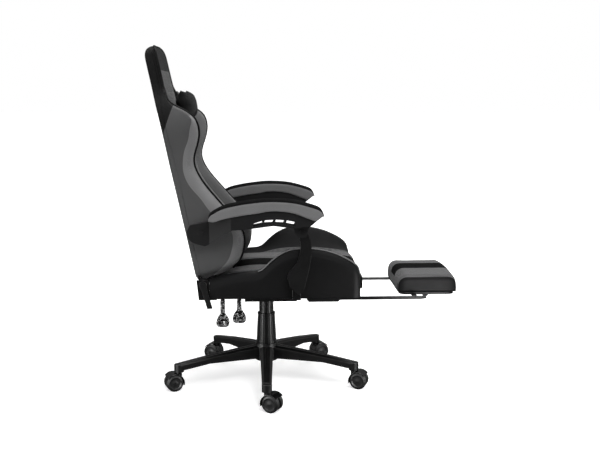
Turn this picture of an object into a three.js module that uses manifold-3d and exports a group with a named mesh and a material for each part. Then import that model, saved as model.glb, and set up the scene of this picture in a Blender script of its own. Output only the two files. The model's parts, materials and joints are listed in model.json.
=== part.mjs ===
// Gaming chair on a five-star base with casters, a gas lift, a rocking seat plate,
// a reclining bucket back, linked armrests and a slide-out footrest.
// Millimetres. +X is forward, +Y is the sitter's left, +Z is up.
import * as THREE from 'three';
import { mergeVertices } from 'three/addons/utils/BufferGeometryUtils.js';
import Module from 'manifold-3d';

const wasm = await Module();
wasm.setup();

// Clearances and counts shared by all pieces
const seatGap = 0.3;
const runGap = 0.4;
const cutOver = 2;
const roundSides = 20;
const smallSides = 10;
const wheelSides = 18;
const leastPad = 1;
const endSideShare = 0.35;

// Overall width of the seat
const seatHalfWidth = 251;

// Star base
const legCount = 5;
const frontLegAngle = -Math.PI / 2;
const legTipReach = 340;
const tipBossRadius = 17;
const legTipTop = 95;
const legTipBottom = 65;
const legRootWidth = 47;
const legTipWidth = 32;
const legRootTop = 138;
const legRootBottom = 88;
const legWaistDepth = 25;
const legSpineShare = 0.56;
const legSpineHeight = 3.2;
const legWall = 3.2;
const legRoof = 5;
const ribCount = 3;
const grooveWidth = 9;
const grooveDepth = 2.4;
const grooveEndShare = 0.7;
const hubRadius = 41;
const hubTop = 142;
const hubBottom = 80;
const stemSocketDepth = 23;

// Casters
const wheelRadius = 30;
const wheelWidth = 19;
const wheelTread = 4;
const wheelDish = 3.5;
const wheelHubRadius = 11;
const wheelRimRadius = 22;
const webHalf = 4.6;
const webRadius = 25;
const axleRadius = 4;
const hoodInner = 31.2;
const hoodOuter = 33.6;
const hoodHalfWidth = 25.5;
const casterTrail = 20;
const collarRadius = 10;
const collarHeight = 8;
const stemRadius = 5.5;
const hoodArcDegrees = [40, 85, 130, 160, 195];
const casterTurnDegrees = [332, 339, 20, 160, 201];

// Gas lift and its covers
const tubeRadius = 24;
const tubeBottom = 78;
const tubeTop = 286;
const tubeFloor = 14;
const pistonRadius = 14;
const pistonBottom = 100;
const pistonTop = 328;
const baseCoverFoot = 36.5;
const baseCoverNeck = 31;
const baseCoverLip = 1.2;
const baseCoverLipHeight = 5;
const baseCoverTop = 252;
const coverWall = 1.7;
const liftCoverRadius = 26.3;
const liftCoverBottom = 158;
const liftCoverTop = 300;
const liftCoverRoof = 3;

// Rocking mechanism under the seat
const boxBottom = 303;
const boxFront = 108;
const boxRear = -76;
const boxHalfWidth = 55;
const boxWall = 3;
const boxRearTop = 323;
const boxFrontTop = 346;
const socketRadius = 20;
const socketTop = 326;
const plateTop = 358.7;
const tiltPinX = 85;
const tiltPinDrop = 22.7;
const tiltPinZ = plateTop - tiltPinDrop;
const tiltPinRadius = 5;
const plateThickness = 3.7;
const plateFront = 128;
const plateRear = -168;
const plateHalfWidth = 100;
const flangeInner = 58;
const flangeThickness = 3.2;
const flangeDrop = 20;
const pinLugRadius = 13;
const springCoilRadius = 11;
const springWire = 3;
const springTurns = 6;
const springSteps = 8;
const springWireSides = 5;

// Levers under the seat
const leverDrop = 8.7;
const leverZ = plateTop - leverDrop;
const leverTongueShare = 0.75;
const leverRodRadius = 4;
const heightLeverX = -145;
const tiltLeverX = -90;
const heightTongueReach = 117;
const tiltTongueReach = 20;
const leverTongueHalf = 5;
const paddleInset = 8;
const paddleOuterY = seatHalfWidth - paddleInset;
const paddleThickness = 13;
const paddleNeckWidth = 15;
const paddleWidth = 44;
const heightPaddleBottom = 262;
const tiltPaddleBottom = 275;
const paddleBowlHeight = 48;
const paddleDish = 3;
const paddleShoulderShare = 1.4;
const paddleCheekShare = 0.7;
const paddleChinShare = 1.6;

// Seat
const skirtThickness = 29;
const panBottom = plateTop + seatGap;
const panThickness = 10;
const panFront = 302;
const panRear = -192;
const panHalfWidth = seatHalfWidth - skirtThickness;
const panCorner = 30;
const seatFront = 330;
const seatRear = -174;
const seatSideFront = 314;
const seatSideRear = -188;
const seatCentreHalf = 163;
const seatCentreTop = 444;
const seatCrown = 7;
const seatChannelDepth = 5;
const seatChannelHalf = 52;
const seatEdgeRound = 26;
const bolsterCrest = 524;
const skirtDrop = 6;

// Back, in its own frame: s runs up the back from the recline pivot, t points forward
const reclineX = -208;
const reclineZ = 407;
const backLean = 12 * Math.PI / 180;
const backBottom = 20;
const backTop = 799;
const neckLevel = 640;
const footDrop = 13;
const footRun = 95;
const footBlend = 40;
const shellFrontT = -2;
const shellRearT = -34;
const shellRearCrown = 18;
const headFrontT = 11;
const backSideInset = 1;
const backHalfWidth = seatHalfWidth - backSideInset;
const wingNoseDepth = 168;
const backPadGap = 3;
const backCentreT = 47;
const wingCrestInset = 75;
const shellTopRound = 40;
const shellTopShare = 0.6;
const headTopRound = 40;
const headTopShare = 0.25;
const wingLeastShare = 0.22;
const wingRootShare = 0.75;
const pillowLeastShare = 0.5;
const pillowCornerShare = 0.96;

// Pillows
const neckPillowS = 583;
const neckPillowT = 60.5;
const neckPillowHalf = [125, 52, 27];
const lumbarPillowS = 130;
const lumbarPillowT = 127;
const lumbarPillowHalf = [112, 80, 54.5];

// Recliners
const reclinePlateInset = 11;
const reclinePlateInner = seatHalfWidth - reclinePlateInset;
const reclinePlateThickness = 6;
const reclinePlateBottom = plateTop - plateThickness;
const reclinePlateTop = 422;
const reclinePlateRear = -230;
const reclinePlateFront = seatSideRear - seatGap;
const reclineFootFront = -164;
const reclineFootReach = 44;
const reclineFootInner = reclinePlateInner - reclineFootReach;
const reclineBossRadius = 13;
const reclineBossReach = 5.5;
const backArmReach = 28;
const backArmInner = reclinePlateInner - backArmReach;
const backArmThickness = 6;
const backArmRear = -14;
const backArmFront = -6;
const backArmLength = 150;
const backArmEye = 16;
const reclineLeverLength = 80;
const reclineLeverWidth = 17;
const reclineLeverThickness = 6;
const reclineLeverHub = 12;
const reclineLeverAngle = 15.5 * Math.PI / 180;

// Armrests
const mountStandOff = 2.5;
const mountThickness = 6;
const mountInner = seatHalfWidth + mountStandOff;
const postStandOff = 6;
const postThickness = 16;
const postInner = mountInner + mountThickness + postStandOff;
const armOverhang = 10.5;
const armY = postInner + postThickness / 2 + armOverhang;
const armPadHalfWidth = 37;
const armPadRear = -184;
const armPadFront = 188;
const armPadPeakZ = 697;
const armPadRise = 57;
const armPadFrontZ = armPadPeakZ - armPadRise;
const armPadThickness = 42;
const armTailSize = 36;
const armPadRound = 11;
const armPadSeat = 0.4;
const armPadSteps = 18;
const armPadCrown = 3;
const armSlotDrop = 42;
const armSlotBow = 9;
const studShare = 0.75;
const armShellHalfWidth = 29;
const armTailGap = 1;
const armTailThickness = 20;
const armTailInner = backHalfWidth + armTailGap;
const armTailOuter = armTailInner + armTailThickness;
const armRearPivotX = -211;
const armRearPivotDrop = 115;
const armRearPivotZ = armPadPeakZ - armRearPivotDrop;
const armFrontPivotX = 118;
const armFrontPivotDrop = 109;
const armFrontPivotZ = armPadPeakZ - armFrontPivotDrop;
const armSlotCount = 4;
const armSlotFront = 94;
const armSlotRear = -46;
const armSlotWall = 6;
const armSlotHeight = 14.5;
const armRearSlotShare = 0.75;
const armSlotLean = 5;
const armRibThickness = 6;
const armPinRadius = 5;
const armEyeRadius = 17;
const armBossRadius = 9;
const armBossReach = 4;
const lugThickness = 6.5;
const postPivotX = 100;
const postPivotZ = 418;
const studRadius = 6;
const mountHalfLength = 14;
const mountFootReach = 18;
const mountFootInner = panHalfWidth - mountFootReach;
const mountFootZ = plateTop - plateThickness;

// Footrest
const railY = 161;
const railDrop = 20.7;
const railZ = plateTop - railDrop;
const railRadius = 6;
const railRear = 148;
const railFront = 556;
const railBend = 30;
const railSteps = 44;
const railSides = 8;
const guideRear = 138;
const guideFront = 252;
const guideHalfWidth = 10;
const guideWall = 4;
const guideBottom = railZ - railRadius - guideWall;
const boardHalfWidth = 141;
const boardRear = 460;
const boardFront = 650;
const boardThickness = 8;
const boardCorner = 24;
const clipHalfWidth = 11;
const clipRadius = 10.2;
const clipY = 92;
const lugX = 507;
const lugHalfLength = 8;
const lugOuterY = 168;
const footPadRear = 456;
const footPadFront = 657;
const footPadHalfWidth = 147;
const footPadTop = 419;
const footPadRound = 30;

const finishes = {
  nylon: { color: 0x17181a, roughness: 0.34, metalness: 0 },
  plastic: { color: 0x1b1c1e, roughness: 0.5, metalness: 0 },
  gloss: { color: 0x101113, roughness: 0.16, metalness: 0 },
  rubber: { color: 0x1d1d1f, roughness: 0.75, metalness: 0 },
  steel: { color: 0x9b9da0, roughness: 0.3, metalness: 1 },
  paint: { color: 0x151618, roughness: 0.42, metalness: 0.3 },
  greyMesh: { color: 0x4a4a4b, roughness: 0.92, metalness: 0 },
  greyCloth: { color: 0x6d6d6e, roughness: 0.85, metalness: 0 },
  blackCloth: { color: 0x1a1a1b, roughness: 0.88, metalness: 0 },
};

const chair = new THREE.Group();

function addPiece(name, finish, geometry, parent = chair) {
  const mesh = new THREE.Mesh(geometry, new THREE.MeshStandardMaterial(finishes[finish]));
  mesh.name = name;
  parent.add(mesh);
  return mesh;
}

// Solids and their booleans

function solid(geometry) {
  const plain = geometry.clone();
  plain.deleteAttribute('normal');
  plain.deleteAttribute('uv');
  const merged = mergeVertices(plain);
  return new wasm.Manifold(new wasm.Mesh({
    numProp: 3,
    vertProperties: merged.attributes.position.array,
    triVerts: merged.index.array,
  }));
}

function geometryOf(manifold) {
  const mesh = manifold.getMesh();
  const geometry = new THREE.BufferGeometry();
  const places = new Float32Array(mesh.numVert * 3);
  for (let i = 0; i < mesh.numVert; i += 1) {
    for (let k = 0; k < 3; k += 1) {
      places[i * 3 + k] = mesh.vertProperties[i * mesh.numProp + k];
    }
  }
  geometry.setAttribute('position', new THREE.BufferAttribute(places, 3));
  geometry.setIndex(new THREE.BufferAttribute(new Uint32Array(mesh.triVerts), 1));
  geometry.computeVertexNormals();
  return geometry;
}

function join(...geometries) {
  return geometryOf(geometries.map(solid).reduce((whole, next) => whole.add(next)));
}

function cut(body, ...tools) {
  return geometryOf(tools.map(solid).reduce((whole, next) => whole.subtract(next), solid(body)));
}

function common(...geometries) {
  return geometryOf(geometries.map(solid).reduce((whole, next) => whole.intersect(next)));
}

function box(xs, ys, zs) {
  const geometry = new THREE.BoxGeometry(xs[1] - xs[0], ys[1] - ys[0], zs[1] - zs[0]);
  return geometry.translate((xs[0] + xs[1]) / 2, (ys[0] + ys[1]) / 2, (zs[0] + zs[1]) / 2);
}

// Cylinder along Z between two heights, at (x, y)
function uprightRod(radius, z0, z1, x = 0, y = 0, sides = roundSides) {
  const geometry = new THREE.CylinderGeometry(radius, radius, z1 - z0, sides);
  return geometry.rotateX(Math.PI / 2).translate(x, y, (z0 + z1) / 2);
}

// Cylinder along Y between two widths, at (x, z)
function crossRod(radius, y0, y1, x = 0, z = 0, sides = roundSides) {
  const geometry = new THREE.CylinderGeometry(radius, radius, y1 - y0, sides);
  return geometry.translate(x, (y0 + y1) / 2, z);
}

// Plan outline, as [x, y] points or a Shape, raised between two heights
function raise(outline, z0, z1, sides = 8) {
  const shape = outline instanceof THREE.Shape ? outline : shapeOf(outline);
  const options = { depth: z1 - z0, bevelEnabled: false, curveSegments: sides };
  return new THREE.ExtrudeGeometry(shape, options).translate(0, 0, z0);
}

// Side outline, as [x, z] points or a Shape, spread between two widths
function spread(outline, y0, y1, sides = 8) {
  return raise(outline, 0, y1 - y0, sides).rotateX(Math.PI / 2).translate(0, y1, 0);
}

function shapeOf(points) {
  return new THREE.Shape(points.map(([x, y]) => new THREE.Vector2(x, y)));
}

function roundedRectangle(x0, x1, y0, y1, corner) {
  const shape = new THREE.Shape();
  shape.moveTo(x0 + corner, y0);
  shape.lineTo(x1 - corner, y0);
  shape.absarc(x1 - corner, y0 + corner, corner, -Math.PI / 2, 0);
  shape.lineTo(x1, y1 - corner);
  shape.absarc(x1 - corner, y1 - corner, corner, 0, Math.PI / 2);
  shape.lineTo(x0 + corner, y1);
  shape.absarc(x0 + corner, y1 - corner, corner, Math.PI / 2, Math.PI);
  shape.lineTo(x0, y0 + corner);
  shape.absarc(x0 + corner, y0 + corner, corner, Math.PI, Math.PI * 1.5);
  return shape;
}

// Ring turned about Z from a closed [radius, z] profile
function turned(profile, sides = roundSides) {
  const points = [...profile, profile[0]].map(([r, z]) => new THREE.Vector2(r, z));
  return new THREE.LatheGeometry(points, sides, Math.PI / sides).rotateX(Math.PI / 2);
}

function pipe(path, radius, steps, sides = smallSides) {
  const section = new THREE.Shape();
  section.absarc(0, 0, radius, 0, Math.PI * 2);
  const points = section.getPoints(sides).slice(0, sides);
  const options = { steps, bevelEnabled: false, extrudePath: path };
  return new THREE.ExtrudeGeometry(new THREE.Shape(points), options);
}

// Closed skin over rings of equal length, with a fan on each end
function loft(rings) {
  const count = rings[0].length;
  const places = rings.flat(2);
  const faces = [];
  for (let i = 0; i + 1 < rings.length; i += 1) {
    for (let k = 0; k < count; k += 1) {
      const a = i * count + k;
      const b = i * count + (k + 1) % count;
      faces.push(a, b, a + count, b, b + count, a + count);
    }
  }
  for (const [ring, flip] of [[0, true], [rings.length - 1, false]]) {
    const middle = places.length / 3;
    for (let axis = 0; axis < 3; axis += 1) {
      places.push(rings[ring].reduce((sum, point) => sum + point[axis], 0) / count);
    }
    for (let k = 0; k < count; k += 1) {
      const a = ring * count + k;
      const b = ring * count + (k + 1) % count;
      faces.push(...(flip ? [b, a, middle] : [a, b, middle]));
    }
  }
  const geometry = new THREE.BufferGeometry();
  geometry.setAttribute('position', new THREE.Float32BufferAttribute(places, 3));
  geometry.setIndex(faces);
  return outward(geometry);
}

// Faces turned to point out of the solid
function outward(geometry) {
  const place = geometry.attributes.position;
  const faces = geometry.index.array;
  const corner = (i) => new THREE.Vector3().fromBufferAttribute(place, faces[i]);
  let volume = 0;
  for (let i = 0; i < faces.length; i += 3) {
    volume += corner(i).dot(corner(i + 1).cross(corner(i + 2)));
  }
  if (volume < 0) {
    for (let i = 0; i < faces.length; i += 3) {
      [faces[i], faces[i + 1]] = [faces[i + 1], faces[i]];
    }
  }
  geometry.computeVertexNormals();
  return geometry;
}

// Value on a smooth line through [place, value] stops
function along(stops, place) {
  const last = stops.length - 1;
  if (place <= stops[0][0]) return stops[0][1];
  if (place >= stops[last][0]) return stops[last][1];
  const i = stops.findIndex((stop) => stop[0] > place) - 1;
  const [x0, y0] = stops[i];
  const [x1, y1] = stops[i + 1];
  const slope = (k) => {
    if (k <= 0 || k >= last) return 0;
    return (stops[k + 1][1] - stops[k - 1][1]) / (stops[k + 1][0] - stops[k - 1][0]);
  };
  const u = (place - x0) / (x1 - x0);
  const step = x1 - x0;
  const rise = u * u * (3 - 2 * u);
  const start = slope(i) * step * u * (1 - u) * (1 - u);
  const end = slope(i + 1) * step * u * u * (u - 1);
  return y0 + (y1 - y0) * rise + start + end;
}

// Stops given as shares of a length and a height
function scaled(shares, length, height) {
  return shares.map(([a, b]) => [a * length, b * height]);
}

function mirrored(geometry) {
  const copy = tidied(geometry);
  copy.scale(1, -1, 1);
  return outward(copy);
}

const hands = [['right', -1], ['left', 1]];

// A piece drawn on the left side is placed on both sides
function addPair(name, finish, geometry, parent = chair) {
  for (const [hand, side] of hands) {
    addPiece(`${name}_${hand}`, finish, side > 0 ? geometry.clone() : mirrored(geometry), parent);
  }
}

// Lathe from a [radius, z] profile that starts and ends on the axis
function turnedSolid(profile, sides = roundSides) {
  const points = profile.map(([r, z]) => new THREE.Vector2(r, z));
  return tidied(new THREE.LatheGeometry(points, sides, Math.PI / sides).rotateX(Math.PI / 2));
}

// Shared corners merged, flat slivers dropped, faces pointing out
function tidied(geometry) {
  const plain = geometry.clone();
  plain.deleteAttribute('normal');
  plain.deleteAttribute('uv');
  const merged = mergeVertices(plain);
  const faces = merged.index.array;
  const kept = [];
  for (let i = 0; i < faces.length; i += 3) {
    const [a, b, c] = [faces[i], faces[i + 1], faces[i + 2]];
    if (a !== b && b !== c && c !== a) kept.push(a, b, c);
  }
  merged.setIndex(kept);
  return outward(merged);
}

// How far a rounded edge has fallen at a distance in from it
function roundDrop(distance, radius) {
  if (distance >= radius) return 0;
  const left = radius - Math.max(distance, 0);
  return radius - Math.sqrt(radius * radius - left * left);
}

const plainPlace = (a, b, c) => [a, b, c];
const backPlace = (s, y, t) => [t, y, s];

// Stations along a padded block, closer together near its ends
function stationAt(from, to, i, steps) {
  return from + (to - from) * (1 - Math.cos(Math.PI * i / steps)) / 2;
}

// Padded block: flat underside, crowned top, rounded edges, drawn-in sides
function padBlock({ from, to, steps, across, half, low, high, edge, endEdge, drawn, place }) {
  const rings = [];
  for (let i = 0; i <= steps; i += 1) {
    const a = stationAt(from, to, i, steps);
    const inset = Math.min(a - from, to - a);
    const w = half(a) - roundDrop(inset, endEdge) * endSideShare;
    const fall = roundDrop(inset, endEdge);
    const floor = low(a);
    const ring = [];
    for (let k = 0; k <= across; k += 1) {
      const y = w * Math.cos(Math.PI * k / across);
      const height = high(a, y) - roundDrop(w - Math.abs(y), edge) - fall;
      ring.push(place(a, y, Math.max(height, floor + leastPad)));
    }
    const waist = (high(a, w) - edge - fall + floor) / 2;
    ring.push(place(a, -w + drawn, Math.max(waist, floor + leastPad / 2)));
    ring.push(place(a, -w + drawn / 2, floor));
    ring.push(place(a, w - drawn / 2, floor));
    ring.push(place(a, w - drawn, Math.max(waist, floor + leastPad / 2)));
    rings.push(ring);
  }
  return loft(rings);
}

// Star base

const legSpan = legTipReach - tipBossRadius;

function legSection(x, inset, low, high) {
  const share = x / legSpan;
  const half = (legRootWidth + (legTipWidth - legRootWidth) * share) / 2 - inset;
  return { half, low: low(share), high: high(share), x };
}

function legTopAt(share) {
  const sag = legSpineHeight * Math.sin(Math.PI * share);
  return legRootTop + (legTipTop - legRootTop) * share + sag;
}

function legBottomAt(share) {
  return Math.min(legRootBottom, legTopAt(share) - legWaistDepth);
}

// Leg body with a raised spine between two sloping shoulders
function legBody() {
  const rings = [0, 1 / 3, 2 / 3, 1].map((share) => {
    const { half, low, high, x } = legSection(legSpan * share, 0, legBottomAt, legTopAt);
    const spine = half * legSpineShare;
    const shoulder = high - legSpineHeight * 2;
    return [
      [x, -half, low], [x, half, low], [x, half, shoulder],
      [x, spine, high], [x, -spine, high], [x, -half, shoulder],
    ];
  });
  return loft(rings);
}

function legPockets() {
  const start = hubRadius + legWall;
  const end = legSpan - tipBossRadius - legWall;
  const pitch = (end - start + legWall) / ribCount;
  return Array.from({ length: ribCount }, (_, i) => {
    const x0 = start + pitch * i;
    const x1 = x0 + pitch - legWall;
    const rings = [x0, x1].map((place) => {
      const { half, low, high, x } = legSection(place, legWall, legBottomAt, legTopAt);
      const roof = high - legRoof - legSpineHeight;
      return [
        [x, -half, low - cutOver], [x, half, low - cutOver],
        [x, half, roof], [x, -half, roof],
      ];
    });
    return loft(rings);
  });
}

function legGroove() {
  const half = grooveWidth / 2;
  const rings = [hubRadius, legSpan * grooveEndShare].map((x) => {
    const top = legTopAt(x / legSpan);
    const floor = top - grooveDepth;
    return [[x, -half, floor], [x, half, floor], [x, half, top + cutOver], [x, -half, top + cutOver]];
  });
  return loft(rings);
}

function starBase() {
  const solids = [];
  const cuts = [];
  for (let i = 0; i < legCount; i += 1) {
    const turn = frontLegAngle + i * 2 * Math.PI / legCount;
    const boss = uprightRod(tipBossRadius, legTipBottom, legTipTop - legSpineHeight, legSpan);
    const stem = uprightRod(
      stemRadius + runGap, legTipBottom - cutOver, legTipBottom + stemSocketDepth, legSpan, 0,
      smallSides,
    );
    solids.push(legBody().rotateZ(turn), boss.rotateZ(turn));
    cuts.push(stem.rotateZ(turn), legGroove().rotateZ(turn));
    cuts.push(...legPockets().map((pocket) => pocket.rotateZ(turn)));
  }
  const hub = uprightRod(hubRadius, hubBottom, hubTop);
  const bore = uprightRod(tubeRadius + seatGap, hubBottom - cutOver, hubTop + cutOver);
  return cut(join(hub, ...solids), bore, ...cuts);
}

// Casters, each drawn with its stem on Z and its wheels trailing along +X

function casterHood() {
  const centre = [casterTrail, wheelRadius];
  const reach = hoodOuter * 2;
  const arc = hoodArcDegrees.map((degrees) => {
    const angle = degrees * Math.PI / 180;
    return [centre[0] + reach * Math.cos(angle), centre[1] + reach * Math.sin(angle)];
  });
  const disc = crossRod(hoodOuter, -hoodHalfWidth, hoodHalfWidth, ...centre, roundSides);
  const shell = common(disc, spread([centre, ...arc], -hoodHalfWidth, hoodHalfWidth));
  const web = crossRod(webRadius, -webHalf, webHalf, ...centre);
  const collarTop = legTipBottom - seatGap;
  const collar = uprightRod(collarRadius, collarTop - collarHeight * 2, collarTop, 0, 0, smallSides);
  const wells = [-1, 1].map((side) => {
    const ends = [side * webHalf, side * (hoodHalfWidth + cutOver)].sort((a, b) => a - b);
    return crossRod(hoodInner, ...ends, ...centre);
  });
  const bore = crossRod(
    axleRadius + runGap, -webHalf - cutOver, webHalf + cutOver, ...centre, smallSides,
  );
  const stemTop = legTipBottom + stemSocketDepth - seatGap;
  const stem = uprightRod(stemRadius, collarTop - collarHeight / 2, stemTop, 0, 0, smallSides);
  return join(cut(join(shell, web, collar), ...wells, bore), stem);
}

const wheelInnerY = webHalf + runGap;
const wheelOuterY = wheelInnerY + wheelWidth;

// Radii and widths of a wheel from its inner face out to its hub
function wheelProfile() {
  return [
    [wheelRadius, wheelInnerY],
    [wheelRadius, wheelOuterY - wheelTread],
    [wheelRimRadius, wheelOuterY],
    [wheelRimRadius - wheelDish, wheelOuterY - wheelDish],
    [wheelHubRadius, wheelOuterY - wheelDish],
  ];
}

function outerWheel() {
  const bore = axleRadius + runGap;
  const ring = [[bore, wheelInnerY], ...wheelProfile(), [bore, wheelOuterY - wheelDish / 2]];
  return tidied(turned(ring, wheelSides)).rotateX(-Math.PI / 2);
}

// The second wheel carries the axle that both turn on
function innerWheel() {
  const axleEnd = wheelOuterY - wheelDish - runGap;
  const half = wheelProfile().map(([r, w]) => [r, -w]).reverse();
  const profile = [
    [0, -wheelOuterY + wheelDish / 2], ...half, [axleRadius, -wheelInnerY],
    [axleRadius, axleEnd], [0, axleEnd],
  ];
  return turnedSolid(profile, wheelSides).rotateX(-Math.PI / 2);
}

function addCasters() {
  for (let i = 0; i < legCount; i += 1) {
    const leg = frontLegAngle + i * 2 * Math.PI / legCount;
    const caster = new THREE.Group();
    caster.position.set(legSpan * Math.cos(leg), legSpan * Math.sin(leg), 0);
    caster.rotation.z = casterTurnDegrees[i] * Math.PI / 180;
    chair.add(caster);
    const wheels = new THREE.Group();
    wheels.position.set(casterTrail, 0, wheelRadius);
    caster.add(wheels);
    addPiece(`caster_${i + 1}_hood`, 'gloss', casterHood(), caster);
    addPiece(`caster_${i + 1}_wheel_inner`, 'rubber', innerWheel(), wheels);
    addPiece(`caster_${i + 1}_wheel_outer`, 'rubber', outerWheel(), wheels);
  }
}

// Gas lift

function liftTube() {
  const bore = pistonRadius + runGap;
  return turnedSolid([
    [0, tubeBottom], [tubeRadius, tubeBottom], [tubeRadius, tubeTop],
    [bore, tubeTop], [bore, tubeBottom + tubeFloor], [0, tubeBottom + tubeFloor],
  ]);
}

function liftPiston() {
  const taper = pistonTop - socketTop + boxWall * 2;
  return turnedSolid([
    [0, pistonBottom], [pistonRadius, pistonBottom], [pistonRadius, pistonTop - taper],
    [pistonRadius - seatGap * 2, pistonTop], [0, pistonTop],
  ]);
}

function baseCover() {
  const foot = hubTop + seatGap;
  const lip = baseCoverTop - baseCoverLipHeight;
  return turned([
    [baseCoverFoot, foot], [baseCoverNeck, lip], [baseCoverNeck + baseCoverLip, lip],
    [baseCoverNeck + baseCoverLip, baseCoverTop], [baseCoverNeck - coverWall, baseCoverTop],
    [baseCoverNeck - coverWall, lip], [baseCoverFoot - coverWall, foot],
  ]);
}

function liftCover() {
  const roof = liftCoverTop - liftCoverRoof;
  const hole = pistonRadius + seatGap;
  return turned([
    [liftCoverRadius, liftCoverBottom], [liftCoverRadius, liftCoverTop], [hole, liftCoverTop],
    [hole, roof], [liftCoverRadius - coverWall, roof],
    [liftCoverRadius - coverWall, liftCoverBottom],
  ]);
}

// Rocking mechanism

const plateBottom = plateTop - plateThickness;
const springSlopeX = tiltPinX - springCoilRadius * 2;

function mechanismBox() {
  const side = [
    [boxRear, boxBottom], [boxFront, boxBottom], [boxFront, boxFrontTop],
    [springSlopeX, boxFrontTop], [boxRear, boxRearTop],
  ];
  const body = spread(side, -boxHalfWidth, boxHalfWidth);
  const well = box(
    [boxRear + boxWall, boxFront - boxWall], [boxWall - boxHalfWidth, boxHalfWidth - boxWall],
    [boxBottom + boxWall, plateTop],
  );
  const socket = uprightRod(socketRadius, boxBottom, socketTop);
  const bore = uprightRod(pistonRadius + seatGap, boxBottom - cutOver, socketTop + cutOver);
  const hole = crossRod(
    tiltPinRadius + runGap, -boxHalfWidth - cutOver, boxHalfWidth + cutOver, tiltPinX, tiltPinZ,
    smallSides,
  );
  const notchHalf = leverTongueHalf + cutOver;
  const notch = box(
    [boxRear - cutOver, boxRear + boxWall + cutOver], [-notchHalf, notchHalf],
    [boxBottom + boxWall, boxFrontTop],
  );
  return cut(join(cut(body, well), socket), bore, hole, notch);
}

const flangeOuter = flangeInner + flangeThickness;

function seatPlate() {
  const plan = roundedRectangle(plateRear, plateFront, -plateHalfWidth, plateHalfWidth, panCorner);
  const top = raise(plan, plateBottom, plateTop, 4);
  const solids = [top];
  const cuts = [];
  const flangeRear = plateRear + panCorner / 2;
  const flangeFront = plateFront - panCorner / 2;
  for (const side of [-1, 1]) {
    const ys = [side * flangeInner, side * flangeOuter].sort((a, b) => a - b);
    const wide = [ys[0] - cutOver, ys[1] + cutOver];
    solids.push(box([flangeRear, flangeFront], ys, [plateBottom - flangeDrop, plateTop]));
    solids.push(crossRod(pinLugRadius, ...ys, tiltPinX, tiltPinZ));
    cuts.push(crossRod(tiltPinRadius + runGap, ...wide, tiltPinX, tiltPinZ, smallSides));
    cuts.push(crossRod(leverRodRadius + runGap, ...wide, heightLeverX, leverZ, smallSides));
    if (side < 0) {
      cuts.push(crossRod(leverRodRadius + runGap, ...wide, tiltLeverX, leverZ, smallSides));
    }
  }
  return cut(join(...solids), ...cuts);
}

function tiltPin() {
  const shaft = flangeOuter + runGap;
  const head = shaft + boxWall;
  const headRadius = tiltPinRadius + boxWall;
  const rod = turnedSolid([
    [0, -head], [headRadius, -head], [headRadius, -shaft], [tiltPinRadius, -shaft],
    [tiltPinRadius, shaft], [headRadius, shaft], [headRadius, head], [0, head],
  ], smallSides);
  return rod.rotateX(-Math.PI / 2).translate(tiltPinX, 0, tiltPinZ);
}

// Torsion spring round the tilt pin: a leg up from the floor, the coils, a leg down
class TorsionSpring extends THREE.Curve {
  getPoint(share) {
    const turns = springTurns + 0.5;
    const legDrop = tiltPinZ - boxBottom - boxWall - seatGap;
    const coilLength = turns * 2 * Math.PI * springCoilRadius;
    const whole = coilLength + legDrop * 2;
    const pitch = springWire * 1.6;
    const width = turns * pitch;
    const run = share * whole;
    if (run < legDrop) {
      return new THREE.Vector3(-springCoilRadius, -width / 2, run - legDrop);
    }
    if (run > legDrop + coilLength) {
      return new THREE.Vector3(springCoilRadius, width / 2, legDrop + coilLength - run);
    }
    const wound = (run - legDrop) / coilLength;
    const angle = Math.PI - wound * turns * 2 * Math.PI;
    const x = springCoilRadius * Math.cos(angle);
    const z = springCoilRadius * Math.sin(angle);
    return new THREE.Vector3(x, (wound - 0.5) * width, z);
  }
}

function leastSelfGap(curve, steps, turnSteps, diameter) {
  const points = curve.getSpacedPoints(steps);
  let least = Infinity;
  for (let i = 0; i < points.length; i += 1) {
    for (let k = i + Math.round(turnSteps / 2); k < points.length; k += 1) {
      least = Math.min(least, points[i].distanceTo(points[k]) - diameter);
    }
  }
  return least;
}

function tiltSpring() {
  const curve = new TorsionSpring();
  const steps = (springTurns + 2) * springSteps;
  const gap = leastSelfGap(curve, steps * springSteps, springSteps * springSteps, springWire);
  console.log(`tilt spring least gap to itself: ${gap.toFixed(2)} mm`);
  return pipe(curve, springWire / 2, steps, springWireSides).translate(tiltPinX, 0, tiltPinZ);
}

// Levers

function leverRod(x, innerEnd, tongueTo, tongueY) {
  const rodEnd = paddleThickness / 2 - paddleOuterY;
  const rod = crossRod(leverRodRadius, rodEnd, innerEnd, x, leverZ, smallSides);
  const xs = [x, tongueTo].sort((a, b) => a - b);
  const half = leverRodRadius * leverTongueShare;
  const ys = [tongueY - leverTongueHalf, tongueY + leverTongueHalf];
  return join(rod, box(xs, ys, [leverZ - half, leverZ + half]));
}

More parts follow.
